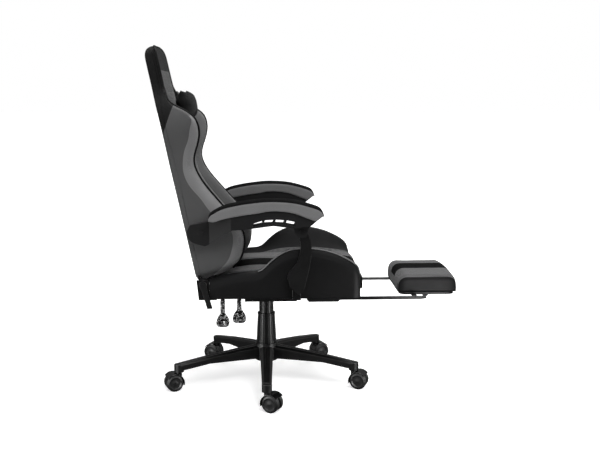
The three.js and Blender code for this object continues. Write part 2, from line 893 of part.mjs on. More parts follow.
function paddle(x, bottom) {
  const neck = paddleNeckWidth / 2;
  const wide = paddleWidth / 2;
  const bowlTop = bottom + paddleBowlHeight;
  const shoulder = bottom + wide * paddleShoulderShare;
  const cheek = bottom + wide * paddleCheekShare;
  const shape = new THREE.Shape();
  shape.moveTo(-neck, bowlTop);
  shape.lineTo(-neck, leverZ);
  shape.absarc(0, leverZ, neck, Math.PI, 0, true);
  shape.lineTo(neck, bowlTop);
  for (const side of [1, -1]) {
    const curve = [
      [neck * side, bowlTop - neck], [wide * side, shoulder], [wide * side, cheek],
      [wide * side, bottom], [neck * side * paddleChinShare, bottom], [0, bottom],
    ];
    if (side < 0) curve.reverse().push([-neck, bowlTop]);
    const points = (side < 0 ? curve.slice(1) : curve).flat();
    shape.bezierCurveTo(...points.slice(0, 6));
    shape.bezierCurveTo(...points.slice(6));
  }
  const blade = spread(shape, -paddleOuterY, paddleThickness - paddleOuterY, 5).translate(x, 0, 0);
  const socket = crossRod(
    leverRodRadius + seatGap, paddleThickness / 2 - paddleOuterY - seatGap,
    paddleThickness - paddleOuterY + cutOver, x, leverZ, smallSides,
  );
  const hollow = new THREE.SphereGeometry(1, 10, 8);
  hollow.scale(wide - paddleDish, paddleDish, paddleBowlHeight / 2 - paddleDish);
  hollow.translate(x, -paddleOuterY, bottom + paddleBowlHeight / 2 - paddleDish);
  return cut(blade, socket, hollow);
}

// Seat

const panTop = panBottom + panThickness;
const padFloor = panTop + seatGap;

function seatPan() {
  const plan = roundedRectangle(panRear, panFront, -panHalfWidth, panHalfWidth, panCorner);
  return raise(plan, panBottom, panTop, 4);
}

// Height of the middle of the seat along its length, as shares from back to front
const seatCrownShares = [
  [0, 0.74], [0.06, 0.79], [0.13, 0.86], [0.25, 0.95], [0.4, 0.97], [0.68, 1], [0.86, 1.02],
  [0.95, 0.93], [1, 0.8],
];

function seatCushion() {
  const length = seatFront - seatRear;
  const crown = scaled(seatCrownShares, length, seatCentreTop - padFloor);
  const channel = (y) => {
    const off = Math.abs(Math.abs(y) - seatChannelHalf) / (seatChannelDepth * 2);
    return seatChannelDepth * Math.exp(-off * off);
  };
  return padBlock({
    from: seatRear,
    to: seatFront,
    steps: 16,
    across: 20,
    half: () => seatCentreHalf,
    low: () => padFloor,
    high: (x, y) => {
      const bow = seatCrown * (1 - (y / seatCentreHalf) ** 2);
      return padFloor + along(crown, x - seatRear) + bow - channel(y);
    },
    edge: seatCrown,
    endEdge: seatEdgeRound,
    drawn: seatGap,
    place: plainPlace,
  });
}

// Side seam of the seat from back to front, as shares of its length and of its height
const seatSeamShares = [
  [0, 0.325], [0.064, 0.376], [0.158, 0.454], [0.246, 0.488], [0.334, 0.525], [0.375, 0.63],
  [0.412, 0.75], [0.478, 0.9],
  [0.538, 0.975], [0.6, 1], [0.68, 1], [0.76, 0.96], [0.833, 0.89], [0.9, 0.79],
  [0.946, 0.7], [0.984, 0.58], [1, 0.42],
];
const bolsterCrestShare = 0.72;
const bolsterInnerShare = 0.3;
const bolsterWaistShare = 0.45;
const bolsterRootShare = 0.8;

// Side bolster: an upright outer wall to the seam, a crest, and a slope down to the middle
function seatBolster() {
  const inner = seatCentreHalf + seatGap;
  const width = seatHalfWidth - inner;
  const length = seatSideFront - seatSideRear;
  const tall = bolsterCrest - padFloor;
  const steps = 18;
  const rings = [];
  for (let i = 0; i <= steps; i += 1) {
    const share = (1 - Math.cos(Math.PI * i / steps)) / 2;
    const x = seatSideRear + length * share;
    const seam = padFloor + along(scaled(seatSeamShares, 1, tall), share);
    const nose = roundDrop(length * (1 - share), seatEdgeRound);
    const outer = seatHalfWidth - nose;
    const root = padFloor + (seatCentreTop - padFloor) * bolsterRootShare;
    const middle = Math.min(root, seam - seatGap);
    const crest = seam + seatCrown / 2;
    const skirt = Math.min(panHalfWidth + seatGap, outer - seatCrown);
    rings.push([
      [x, inner, padFloor], [x, skirt, padFloor], [x, skirt, padFloor - skirtDrop],
      [x, outer - seatCrown / 2, padFloor - skirtDrop],
      [x, outer, padFloor + (seam - padFloor) * bolsterWaistShare],
      [x, outer - seatCrown / 3, seam - seatCrown],
      [x, outer - seatCrown, seam],
      [x, inner + width * bolsterCrestShare, crest],
      [x, inner + width * (bolsterCrestShare + bolsterInnerShare) / 2, (crest * 2 + middle) / 3],
      [x, inner + width * bolsterInnerShare, (crest + middle * 3) / 4],
      [x, inner, middle],
    ]);
  }
  return loft(rings);
}

// Recliner plates, arms and lever

function reclinerPlate() {
  const inner = reclinePlateInner;
  const outer = inner + reclinePlateThickness;
  const side = [
    [reclinePlateRear + seatCrown, reclinePlateBottom], [reclineFootFront, reclinePlateBottom],
    [reclineFootFront, plateTop], [reclinePlateFront, plateTop],
    [reclinePlateFront, reclinePlateTop - seatCrown],
    [reclinePlateFront - seatCrown, reclinePlateTop], [reclinePlateRear, reclinePlateTop],
  ];
  const foot = box(
    [reclinePlateRear + seatCrown, reclineFootFront], [reclineFootInner, outer],
    [reclinePlateBottom, plateTop],
  );
  const boss = crossRod(
    reclineBossRadius, inner, outer + reclineBossReach, reclineX, reclineZ,
  );
  return join(spread(side, inner, outer), foot, boss);
}

function reclineLever() {
  const inner = reclinePlateInner + reclinePlateThickness + reclineBossReach + seatGap;
  const outer = inner + reclineLeverThickness;
  const half = reclineLeverWidth / 2;
  const shape = new THREE.Shape();
  shape.moveTo(-reclineLeverHub, 0);
  shape.lineTo(-half, -reclineLeverHub * 2);
  shape.lineTo(-half, seatGap - reclineLeverLength);
  shape.lineTo(half, -reclineLeverLength - seatCrown / 2);
  shape.lineTo(half, -reclineLeverHub * 2);
  shape.lineTo(reclineLeverHub, 0);
  shape.absarc(0, 0, reclineLeverHub, 0, Math.PI);
  const arm = spread(shape, inner, outer, 6);
  return arm.rotateY(-reclineLeverAngle).translate(reclineX, 0, reclineZ);
}

// In the back's frame: eye round the pivot with a tongue up into the shell
function reclinerArm() {
  const outer = backArmInner + backArmThickness;
  const eye = crossRod(backArmEye, backArmInner, reclinePlateInner - seatGap);
  const tongue = box([backArmRear, backArmFront], [backArmInner, outer], [0, backArmLength]);
  const neck = spread([
    [backArmRear, 0], [backArmEye - seatCrown, 0], [backArmFront, backArmEye * 1.2],
    [backArmRear, backArmEye * 1.2],
  ], backArmInner, outer);
  return join(eye, tongue, neck);
}

// Back

// Half width from the bottom of the back to its top, as shares of length and of width
const backWidthShares = [
  [0, 0.825], [0.012, 0.84], [0.03, 0.91], [0.1, 0.955], [0.18, 0.955], [0.3, 0.91], [0.42, 0.855],
  [0.5, 0.85], [0.57, 0.9], [0.63, 0.98], [0.67, 1], [0.71, 0.97], [0.75, 0.87],
  [0.79, 0.7], [0.83, 0.6], [0.88, 0.575], [0.94, 0.565], [0.975, 0.52], [0.99, 0.43], [1, 0.3],
];
const backLength = backTop - backBottom;
const backWidthStops = scaled(backWidthShares, backLength, backHalfWidth);

function backHalfAt(s) {
  return along(backWidthStops, s - backBottom);
}

// How far the foot of the back hangs below its first level, as shares from behind to the front
const footDropShares = [[0, 1], [0.2, 0.5], [0.5, 0.36], [0.8, 0.22], [1, 0]];

function footPlace(t, y, s) {
  const drop = along(scaled(footDropShares, footRun, footDrop), t);
  const fade = Math.max(0, 1 - (s - backBottom) / footBlend);
  return [t, y, s - drop * fade];
}

function rearT(y) {
  return shellRearT + shellRearCrown * (y / backHalfWidth) ** 2;
}

// Upholstered rear shell: crowned behind, flat in front, rounded over the top
function backShell() {
  const steps = 26;
  const sides = 8;
  const rings = [];
  for (let i = 0; i <= steps; i += 1) {
    const share = Math.sin(Math.PI / 2 * i / steps);
    const s = backBottom + backLength * share;
    const half = backHalfAt(s) - seatCrown / 3;
    const fall = roundDrop(backTop - s, shellTopRound);
    const ring = [footPlace(shellFrontT, half, s), footPlace(shellFrontT, -half, s)];
    for (let k = 0; k <= sides; k += 1) {
      const y = half * (k * 2 / sides - 1);
      ring.push(footPlace(rearT(y) + fall * shellTopShare, y, s));
    }
    rings.push(ring);
  }
  const body = loft(rings);
  const slots = [-1, 1].map((side) => {
    const ys = [side * (backArmInner - seatGap), side * (backArmInner + backArmThickness + seatGap)];
    return box(
      [backArmRear - seatGap, backArmFront + seatGap], ys.sort((a, b) => a - b),
      [backBottom - footDrop - cutOver, backArmLength + seatGap],
    );
  });
  return cut(body, ...slots);
}

// Crest of the side wing up its length, as shares of its length and of its depth
const wingNoseShares = [
  [0, 0.66], [0.037, 0.8], [0.087, 0.92], [0.147, 0.995], [0.198, 0.99], [0.274, 0.88],
  [0.352, 0.72], [0.442, 0.536], [0.519, 0.405], [0.592, 0.34], [0.642, 0.38], [0.705, 0.51],
  [0.771, 0.59], [0.832, 0.554], [0.882, 0.405], [0.916, 0.244], [0.947, 0.131], [1, 0.083],
];

// Front edge of the wing's flat outer side, as the same shares
const wingSeamShares = [
  [0, 0.2], [0.021, 0.34], [0.061, 0.56], [0.119, 0.7], [0.171, 0.77], [0.227, 0.76],
  [0.342, 0.435], [0.413, 0.32], [0.494, 0.146], [0.566, 0.092], [0.632, 0.136], [0.685, 0.218],
  [0.732, 0.343], [0.794, 0.438], [0.832, 0.52], [0.882, 0.36], [0.916, 0.2], [0.947, 0.1],
  [1, 0.05],
];

// Width of the wing, and how far in its crest stands, as shares up the wing
const wingWidthShares = [[0, 0.47], [0.84, 0.47], [0.92, 0.42], [1, 0.3]];
const wingInsetShares = [[0, 1], [0.84, 1], [0.93, 0.68], [1, 0.1]];

// Section from the seam up to the crest and from the crest down to the middle pad
const wingRollShares = [[0, 0], [0.1, 0.42], [0.32, 0.77], [0.64, 0.96], [1, 1]];
const wingSlopeShares = [[0.22, 0.94], [0.55, 0.6], [1, 0]];
const wingLength = neckLevel - backBottom - seatGap;
const wingFloorT = shellFrontT + seatGap;

function upWing(shares, size, s) {
  return along(scaled(shares, wingLength, size), s - backBottom);
}

function wingInnerAt(s) {
  return backHalfAt(s) - upWing(wingWidthShares, backHalfWidth, s);
}

// Wing: flat outer side to the seam, a roll up to the crest, a slope back to the middle pad
function backWing() {
  const steps = 30;
  const rings = [];
  for (let i = 0; i <= steps; i += 1) {
    const s = backBottom + wingLength * i / steps;
    const outer = backHalfAt(s);
    const inner = wingInnerAt(s);
    const crest = outer - upWing(wingInsetShares, wingCrestInset, s);
    const nose = Math.max(upWing(wingNoseShares, wingNoseDepth, s), backCentreT * wingLeastShare);
    const seam = upWing(wingSeamShares, wingNoseDepth, s);
    const centre = Math.min(backCentreT * wingRootShare, (nose + wingFloorT) / 2);
    rings.push([
      [wingFloorT, inner], [wingFloorT, outer - seatGap],
      ...wingRollShares.map(([a, b]) => [seam + (nose - seam) * b, outer + (crest - outer) * a]),
      ...wingSlopeShares.map(([a, b]) => [centre + (nose - centre) * b, crest + (inner - crest) * a]),
    ].map(([t, y]) => footPlace(t, y, s)));
  }
  return loft(rings);
}

// Forward reach of the middle pad from bottom to neck, as shares
const backPadShares = [
  [0, 0.75], [0.08, 1.25], [0.18, 1.61], [0.3, 1.35], [0.5, 0.95], [0.75, 0.74], [1, 0.72],
];

function backCushion() {
  const stops = scaled(backPadShares, wingLength, backCentreT);
  return padBlock({
    from: backBottom,
    to: neckLevel - seatGap,
    steps: 16,
    across: 12,
    half: (s) => wingInnerAt(s) - backPadGap,
    low: () => wingFloorT,
    high: (s, y) => {
      const seam = Math.abs(Math.abs(y) - seatChannelHalf) / (seatChannelDepth * 2);
      return along(stops, s - backBottom) - seatChannelDepth * Math.exp(-seam * seam);
    },
    edge: seatCrown,
    endEdge: seatCrown,
    drawn: seatGap,
    place: backPlace,
  });
}

function headCushion() {
  return padBlock({
    from: neckLevel + seatGap,
    to: backTop,
    steps: 12,
    across: 14,
    half: (s) => backHalfAt(s) - seatCrown / 3,
    low: () => wingFloorT,
    high: (s, y) => {
      const bow = seatCrown * (y / backHalfWidth) ** 2;
      return headFrontT + bow - roundDrop(backTop - s, headTopRound) * headTopShare;
    },
    edge: seatCrown,
    endEdge: seatCrown / 2,
    drawn: seatGap,
    place: backPlace,
  });
}

// Pillow: pinched at its four corners, full in the middle
function pillow(s, t, [halfWidth, halfHeight, halfDepth], waistShare) {
  const steps = 14;
  const sides = 14;
  const rings = [];
  for (let i = 0; i <= steps; i += 1) {
    const v = -Math.cos(Math.PI * i / steps);
    const swell = Math.max(1 - v ** 6, pillowLeastShare);
    const tall = halfHeight * (1 - waistShare * (1 - v * v)) * (1 - (1 - pillowCornerShare) * v ** 8);
    const deep = halfDepth * Math.sqrt(swell);
    const ring = [];
    for (let k = 0; k < sides; k += 1) {
      const angle = 2 * Math.PI * k / sides;
      const up = Math.sign(Math.cos(angle)) * Math.abs(Math.cos(angle)) ** 0.8;
      const out = Math.sign(Math.sin(angle)) * Math.abs(Math.sin(angle)) ** 0.9;
      ring.push([t + deep * out, halfWidth * v, s + tall * up]);
    }
    rings.push(ring);
  }
  return loft(rings);
}

// Armrests, drawn on the left

const armPadOuter = armY + armPadHalfWidth;

// Top of the arm pad from its rear end to its tip, as shares of its length and its rise
const armTopShares = [
  [0, 0.2], [0.024, 0.27], [0.121, 0.605], [0.272, 0.833], [0.38, 0.93], [0.488, 1],
  [0.618, 0.995], [0.747, 0.91], [0.877, 0.69], [0.954, 0.51], [0.985, 0.33], [1, 0.2],
];
const armThickShares = [
  [0, 0.58], [0.045, 0.83], [0.14, 0.98], [0.44, 1], [0.53, 0.9], [0.72, 0.94],
  [0.81, 1.06], [0.89, 1.12], [0.925, 1.14], [0.957, 0.82], [0.985, 0.4], [1, 0.25],
];
const armLength = armPadFront - armPadRear;

function armTopAt(x) {
  const rise = armPadPeakZ - armPadFrontZ;
  return armPadFrontZ + along(scaled(armTopShares, armLength, rise), x - armPadRear);
}

function armLowAt(x) {
  return armTopAt(x) - along(scaled(armThickShares, armLength, armPadThickness), x - armPadRear);
}

function armPad() {
  return padBlock({
    from: armPadRear,
    to: armPadFront,
    steps: armPadSteps,
    across: 8,
    half: () => armPadHalfWidth,
    low: armLowAt,
    high: (x, y) => armTopAt(x) - armPadCrown * (y / armPadHalfWidth) ** 2,
    edge: armPadRound,
    endEdge: armPadRound,
    drawn: seatGap,
    place: (x, y, z) => [x, y + armY, z],
  });
}

// Tail of the arm shell round its rear pivot, as shares of its size
const armTailShares = [
  [0.5, 1.05], [-1, 0.72], [-1.26, 0.19], [-1.17, -0.41], [-0.88, -0.77], [-0.29, -1],
  [0.36, -1.15], [0.66, -1.03], [1.42, -0.47], [2.1, 0], [2.86, 0.44],
];
const armKnuckleShare = 1.35;

// Lugs beside the post's eye, as shares of the eye's radius round it
const armLugShares = [
  [-1.85, 1.35], [-1.43, -0.22], [-0.79, -0.97], [-0.05, -1.19], [0.7, -1.05], [1.12, 0.1],
  [1.35, 1.35],
];

// Underside of the arm shell, from the front of the knuckle back to the tail
function armShellSide() {
  const top = [];
  for (let i = armPadSteps - 3; i > 1; i -= 1) {
    const x = stationAt(armPadRear, armPadFront, i, armPadSteps);
    top.push([x, armLowAt(x) - armPadSeat]);
  }
  const rear = armTailShares.map(([a, b]) => [
    armRearPivotX + armTailSize * a, armRearPivotZ + armTailSize * b,
  ]);
  const slotFloor = armSlotFloorAt(armSlotRear) - armRibThickness;
  const slotMiddle = (armSlotRear + armSlotFront) / 2;
  const lugRoof = armFrontPivotZ + armEyeRadius + armRibThickness / 2;
  const under = [
    [armSlotRear - armSlotWall * 4, slotFloor - armRibThickness / 2],
    [armSlotRear, slotFloor],
    [slotMiddle, armSlotFloorAt(slotMiddle) - armRibThickness],
    [armSlotFront, armSlotFloorAt(armSlotFront) - armRibThickness],
    [armFrontPivotX, lugRoof],
    [armFrontPivotX + armEyeRadius * armKnuckleShare, lugRoof],
  ];
  return [...top, ...rear, ...under];
}

function armSlotFloorAt(x) {
  const middle = (armSlotRear + armSlotFront) / 2;
  const half = (armSlotFront - armSlotRear) / 2;
  return armLowAt(middle) - armSlotDrop - armSlotBow * ((x - middle) / half) ** 2;
}

function armSlots() {
  const pitch = (armSlotFront - armSlotRear) / armSlotCount;
  return Array.from({ length: armSlotCount }, (_, i) => {
    const x0 = armSlotRear + pitch * i + armSlotWall / 2;
    const x1 = x0 + pitch - armSlotWall;
    const [z0, z1] = [armSlotFloorAt(x0), armSlotFloorAt(x1)];
    const tall = i === 0 ? armSlotHeight * armRearSlotShare : armSlotHeight;
    return spread([
      [x0, z0], [x1, z1], [x1 + armSlotLean, z1 + armSlotHeight], [x0 + armSlotLean, z0 + tall],
    ], armTailInner - cutOver, armPadOuter);
  });
}

function armSupport() {
  const side = armShellSide();
  const shellInner = armY - armShellHalfWidth;
  const shellOuter = armY + armShellHalfWidth;
  const whole = spread(side, armTailInner, shellOuter);
  const tailFront = armPadRear + armTailSize * 2;
  const tall = [armRearPivotZ - armTailSize * 2, armPadPeakZ];
  const farRear = armRearPivotX - armTailSize * 2;
  const innerFront = box([tailFront, armPadFront], [armTailInner - cutOver, shellInner], tall);
  const wedge = raise([
    [farRear, armTailOuter], [armPadRear, armTailOuter], [tailFront, shellOuter],
    [tailFront, shellOuter + cutOver], [farRear, shellOuter + cutOver],
  ], ...tall);
  const lugInner = postInner - runGap;
  const lugOuter = postInner + postThickness + runGap;
  const lugSide = armLugShares.map(([a, b]) => [
    armFrontPivotX + armEyeRadius * a, armFrontPivotZ + armEyeRadius * b,
  ]);
  const lugs = [
    spread(lugSide, lugInner - lugThickness, lugInner),
    spread(lugSide, lugOuter, lugOuter + lugThickness),
  ];
  const eyeRoom = crossRod(
    armEyeRadius + runGap * 2, lugInner, lugOuter, armFrontPivotX, armFrontPivotZ,
  );
  const pinHole = crossRod(
    armPinRadius + runGap, armTailInner - cutOver, shellOuter + cutOver,
    armFrontPivotX, armFrontPivotZ, smallSides,
  );
  const boss = crossRod(
    armBossRadius, armTailInner - armBossReach, armTailOuter + armBossReach / 2,
    armRearPivotX, armRearPivotZ, smallSides,
  );
  const body = cut(whole, innerFront, wedge, ...armSlots());
  return join(cut(join(body, ...lugs), eyeRoom, pinHole), boss);
}

function armPin() {
  const inner = postInner - runGap - lugThickness;
  const outer = postInner + postThickness + runGap + lugThickness;
  const headWidth = armBossReach / 2;
  const headRadius = armPinRadius + boxWall;
  const rod = turnedSolid([
    [0, inner], [armPinRadius, inner], [armPinRadius, outer + seatGap],
    [headRadius, outer + seatGap], [headRadius, outer + seatGap + headWidth],
    [0, outer + seatGap + headWidth],
  ], smallSides);
  return rod.rotateX(-Math.PI / 2).translate(armFrontPivotX, 0, armFrontPivotZ);
}

// Post outline, as shares of the eye's radius across and of the post's rise up
const postFrontShares = [[1.35, -0.12], [1.75, -0.2], [1.78, -0.31]];
const postBellyShares = [[1.8, -0.55], [1.2, -0.8]];
const postTipShares = [[1.67, -0.026], [1.25, -0.18], [0.35, -0.238], [-1.22, -0.09], [-1.75, 0.064]];
const postHeelShares = [[-2, 0.26]];
const postBackShares = [[-0.88, -0.7], [-0.59, -0.488]];
const postNeckShares = [[-0.26, -0.34], [-0.06, -0.165], [-1, 0]];

// Post: round eye on top, narrow neck, pointed shield below
function armPost() {
  const eye = [armFrontPivotX, armFrontPivotZ];
  const rise = armFrontPivotZ - postPivotZ;
  const fromEye = ([a, b]) => [eye[0] + armEyeRadius * a, eye[1] + rise * b];
  const fromFoot = ([a, b]) => [postPivotX + armEyeRadius * a, postPivotZ + rise * b];
  const tip = postTipShares.map(fromFoot);
  const shape = new THREE.Shape();
  shape.absarc(...eye, armEyeRadius, Math.PI, 0, true);
  shape.bezierCurveTo(...postFrontShares.flatMap(fromEye));
  shape.bezierCurveTo(...postBellyShares.flatMap(fromEye), ...tip[0]);
  for (const point of tip.slice(1)) shape.lineTo(...point);
  shape.bezierCurveTo(...postHeelShares.flatMap(fromFoot), ...postBackShares.flatMap(fromEye));
  shape.bezierCurveTo(...postNeckShares.flatMap(fromEye));
  const body = spread(shape, postInner, postInner + postThickness, 8);
  const top = crossRod(
    armPinRadius + runGap, postInner - cutOver, postInner + postThickness + cutOver, ...eye,
    smallSides,
  );
  const stud = crossRod(
    studRadius + runGap, postInner - cutOver, postInner + postThickness * studShare + runGap,
    postPivotX, postPivotZ, smallSides,
  );
  return cut(body, top, stud);
}

function armMount() {
  const outer = mountInner + mountThickness;
  const top = postPivotZ + mountHalfLength / 2;
  const upright = [
    [postPivotX - mountHalfLength, mountFootZ], [postPivotX + mountHalfLength, mountFootZ],
    [postPivotX + mountHalfLength, postPivotZ], [postPivotX + mountHalfLength / 2, top],
    [postPivotX - mountHalfLength / 2, top], [postPivotX - mountHalfLength, postPivotZ],
  ];
  const foot = box(
    [postPivotX - mountHalfLength, postPivotX + mountHalfLength], [mountFootInner, outer],
    [mountFootZ, plateTop],
  );
  const collar = crossRod(
    studRadius * 2, mountInner, postInner - runGap, postPivotX, postPivotZ, smallSides,
  );
  const stud = crossRod(
    studRadius, mountInner, postInner + postThickness * studShare, postPivotX, postPivotZ,
    smallSides,
  );
  return join(spread(upright, mountInner, outer), foot, collar, stud);
}

// Footrest

function railGuide() {
  const ys = [railY - guideHalfWidth, railY + guideHalfWidth];
  const side = [
    [guideRear, guideBottom + seatCrown], [guideRear + seatCrown, guideBottom],
    [guideFront - seatCrown, guideBottom], [guideFront, guideBottom + seatCrown],
    [guideFront, plateTop], [guideRear, plateTop],
  ];
  const bore = new THREE.CylinderGeometry(
    railRadius + runGap, railRadius + runGap, guideFront - guideRear + cutOver * 2, smallSides,
  );
  bore.rotateZ(Math.PI / 2).translate((guideRear + guideFront) / 2, railY, railZ);
  return cut(spread(side, ...ys), bore);
}

// One bent tube: two rails joined by a cross bar in front
function footrestRail() {
  const path = new THREE.CurvePath();
  const at = (x, y) => new THREE.Vector3(x, y, 0);
  const straight = railFront - railBend;
  const side = railY - railBend;
  path.add(new THREE.LineCurve3(at(railRear, -railY), at(straight, -railY)));
  path.add(new THREE.QuadraticBezierCurve3(
    at(straight, -railY), at(railFront, -railY), at(railFront, -side),
  ));
  path.add(new THREE.LineCurve3(at(railFront, -side), at(railFront, side)));
  path.add(new THREE.QuadraticBezierCurve3(
    at(railFront, side), at(railFront, railY), at(straight, railY),
  ));
  path.add(new THREE.LineCurve3(at(straight, railY), at(railRear, railY)));
  return pipe(path, railRadius, railSteps, railSides).translate(0, 0, railZ);
}

const boardBottom = railZ + railRadius + seatGap;
const boardTop = boardBottom + boardThickness;

// Board under the footrest pad, with clips round the cross bar and stops on the rails
function footrestBoard() {
  const plan = roundedRectangle(
    boardRear, boardFront, -boardHalfWidth, boardHalfWidth, boardCorner,
  );
  const slab = raise(plan, boardBottom, boardTop, 4);
  const solids = [slab];
  const bores = [];
  for (const side of [-1, 1]) {
    const ys = [side * clipY - clipHalfWidth, side * clipY + clipHalfWidth];
    solids.push(crossRod(clipRadius, ...ys, railFront, railZ));
    bores.push(crossRod(
      railRadius + runGap, ys[0] - cutOver, ys[1] + cutOver, railFront, railZ,
    ));
    const lugYs = [side * (boardHalfWidth - boardCorner), side * lugOuterY].sort((a, b) => a - b);
    solids.push(box(
      [lugX - lugHalfLength, lugX + lugHalfLength], lugYs, [boardBottom, boardBottom + boardThickness / 2],
    ));
  }
  return cut(join(...solids), ...bores);
}

function footrestPad() {
  return padBlock({
    from: footPadRear,
    to: footPadFront,
    steps: 14,
    across: 14,
    half: () => footPadHalfWidth,
    low: () => boardTop + seatGap,
    high: (x, y) => footPadTop - seatCrown * (y / footPadHalfWidth) ** 2,
    edge: footPadRound * 0.6,
    endEdge: footPadRound,
    drawn: seatCrown,
    place: plainPlace,
  });
}

// Assembly

addPiece('star_base', 'nylon', starBase());
addCasters();
addPiece('gas_lift_tube', 'paint', liftTube());
addPiece('gas_lift_piston', 'steel', liftPiston());
addPiece('base_dust_cover', 'plastic', baseCover());
addPiece('lift_dust_cover', 'plastic', liftCover());
addPiece('mechanism_box', 'paint', mechanismBox());
addPiece('tilt_pin', 'steel', tiltPin());
addPiece('tilt_spring', 'steel', tiltSpring());
addPiece('seat_plate', 'paint', seatPlate());
addPiece('height_lever_rod', 'paint', leverRod(
  heightLeverX, flangeOuter + cutOver * 2, heightLeverX + heightTongueReach, 0,
));
addPiece('height_lever_paddle', 'gloss', paddle(heightLeverX, heightPaddleBottom));
addPiece('tilt_lever_rod', 'paint', leverRod(
  tiltLeverX, leverTongueHalf * 3 - flangeInner, tiltLeverX - tiltTongueReach,
  leverTongueHalf * 3 - flangeInner,
));
addPiece('tilt_lever_paddle', 'gloss', paddle(tiltLeverX, tiltPaddleBottom));
addPiece('seat_pan', 'paint', seatPan());
addPiece('seat_cushion', 'greyMesh', seatCushion());
addPair('seat_bolster', 'blackCloth', seatBolster());
addPair('recliner_plate', 'paint', reclinerPlate());
addPiece('recline_lever', 'plastic', mirrored(reclineLever()));

const back = new THREE.Group();
back.position.set(reclineX, 0, reclineZ);
back.rotation.y = -backLean;
chair.add(back);
addPair('recliner_arm', 'paint', reclinerArm(), back);
addPiece('back_shell', 'blackCloth', backShell(), back);
addPiece('back_cushion', 'greyMesh', backCushion(), back);
addPair('back_wing', 'greyMesh', backWing(), back);
addPiece('head_cushion', 'blackCloth', headCushion(), back);
addPiece('neck_pillow', 'blackCloth', pillow(neckPillowS, neckPillowT, neckPillowHalf, 0.12), back);
addPiece(
  'lumbar_pillow', 'blackCloth', pillow(lumbarPillowS, lumbarPillowT, lumbarPillowHalf, 0.04), back,
);

addPair('armrest_pad', 'greyCloth', armPad());
addPair('armrest_support', 'plastic', armSupport());
addPair('armrest_pin', 'plastic', armPin());
addPair('armrest_post', 'plastic', armPost());
addPair('armrest_mount', 'paint', armMount());

addPair('footrest_guide', 'plastic', railGuide());
addPiece('footrest_rail', 'paint', footrestRail());
addPiece('footrest_board', 'plastic', footrestBoard());
addPiece('footrest_pad', 'greyMesh', footrestPad());

// The part stands on its origin, at the middle of its own box
const whole = new THREE.Box3().setFromObject(chair);
chair.position.set(-(whole.min.x + whole.max.x) / 2, -(whole.min.y + whole.max.y) / 2, -whole.min.z);

const part = new THREE.Group();
part.add(chair);
export default part;
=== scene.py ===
"""Looks for the gaming chair: upholstery, piping, pillows, plastics, floor, light and camera.

Metres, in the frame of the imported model. Shapes are worked out in the chair's own
frame, whose origin is on the floor under the gas lift, and moved by `origin`.
"""
import json
import math

import bmesh
import bpy
import numpy as np
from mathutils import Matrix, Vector, noise


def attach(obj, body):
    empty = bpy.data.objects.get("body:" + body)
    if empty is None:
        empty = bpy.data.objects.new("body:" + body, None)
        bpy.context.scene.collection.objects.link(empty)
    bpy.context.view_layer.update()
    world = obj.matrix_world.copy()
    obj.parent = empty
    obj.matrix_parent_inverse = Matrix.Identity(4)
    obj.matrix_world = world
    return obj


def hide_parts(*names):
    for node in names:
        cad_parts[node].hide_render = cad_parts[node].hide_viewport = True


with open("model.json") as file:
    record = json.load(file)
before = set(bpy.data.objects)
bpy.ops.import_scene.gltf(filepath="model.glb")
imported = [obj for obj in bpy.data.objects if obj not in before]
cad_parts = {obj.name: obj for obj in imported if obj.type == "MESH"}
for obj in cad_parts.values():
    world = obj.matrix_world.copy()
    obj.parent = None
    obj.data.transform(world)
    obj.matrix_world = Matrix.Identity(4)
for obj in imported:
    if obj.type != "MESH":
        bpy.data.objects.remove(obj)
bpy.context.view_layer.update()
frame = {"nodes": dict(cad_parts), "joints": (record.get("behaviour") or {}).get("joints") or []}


def joint_place(name):
    return Vector(next(j["pos_m"] for j in frame["joints"] if j["name"] == name))


# Where the recline pivot stands from the chair's own origin
RECLINE_X = -0.208
RECLINE_Z = 0.407
BACK_LEAN = math.radians(12)

column = joint_place("seat_swivel")
pivot = joint_place("back_recline")
origin = Vector((column.x, column.y, pivot.z - RECLINE_Z))

# Back, measured up from the recline pivot (s) and forward (t)
BACK_BOTTOM = 0.020
BACK_TOP = 0.799
NECK_LEVEL = 0.640
BACK_HALF = 0.250
SHELL_FRONT = -0.002
SHELL_REAR = -0.034
SHELL_CROWN = 0.018
WING_DEPTH = 0.168
CREST_INSET = 0.075
PAD_FORWARD = 0.047
HEAD_FRONT = 0.011
HEAD_FOOT = 0.632
BAND_TOP = 0.548
PIPE_RADIUS = 0.0034
FOOT_DROP = 0.013
FOOT_RUN = 0.095
FOOT_BLEND = 0.040
DARK_SEAM_FOOT = 0.5335
DARK_SEAM_SLOPE = 1.65
HEAD_SEAM = 0.712
HEAD_PIPE_FORWARD = 0.011
HEAD_BOW = 0.003
HEAD_ROUND = 0.040
HEAD_ROUND_SHARE = 0.25
SHELL_ROUND = 0.040
BACK_STRIPE = 0.052
BACK_PAD_GAP = 0.003
BACK_PAD_CROWN = 0.007
HEM_HALF = 0.158
HEM_SECTION = [
    (0.006, -0.024), (0.024, -0.024), (0.024, 0.034), (0.004, 0.031), (-0.016, 0.022),
    (-0.010, -0.010),
]

# Seat
PAD_FLOOR = 0.3693
SEAT_FRONT = 0.330
SEAT_REAR = -0.174
SEAT_HALF = 0.163
SEAT_TOP = 0.444
SEAT_CROWN = 0.007
SEAT_EDGE = 0.026
STRIPE_HALF = 0.060
SIDE_FRONT = 0.314
SIDE_REAR = -0.188
SIDE_HALF = 0.251
BOLSTER_CREST = 0.524
PAN_HALF = 0.222
SKIRT_DROP = 0.006
LIP_INNER = 0.2446
LIP_DROP = 0.0115
SIDE_SEAM_DROP = 0.024
SEAT_PIPE_REAR = -0.030
SEAT_PIPE_RADIUS = 0.0022
STRIPE_FLARE = 0.03
STRIPE_FLARE_RUN = 0.10
SEAT_NOSE_BLACK = 0.012

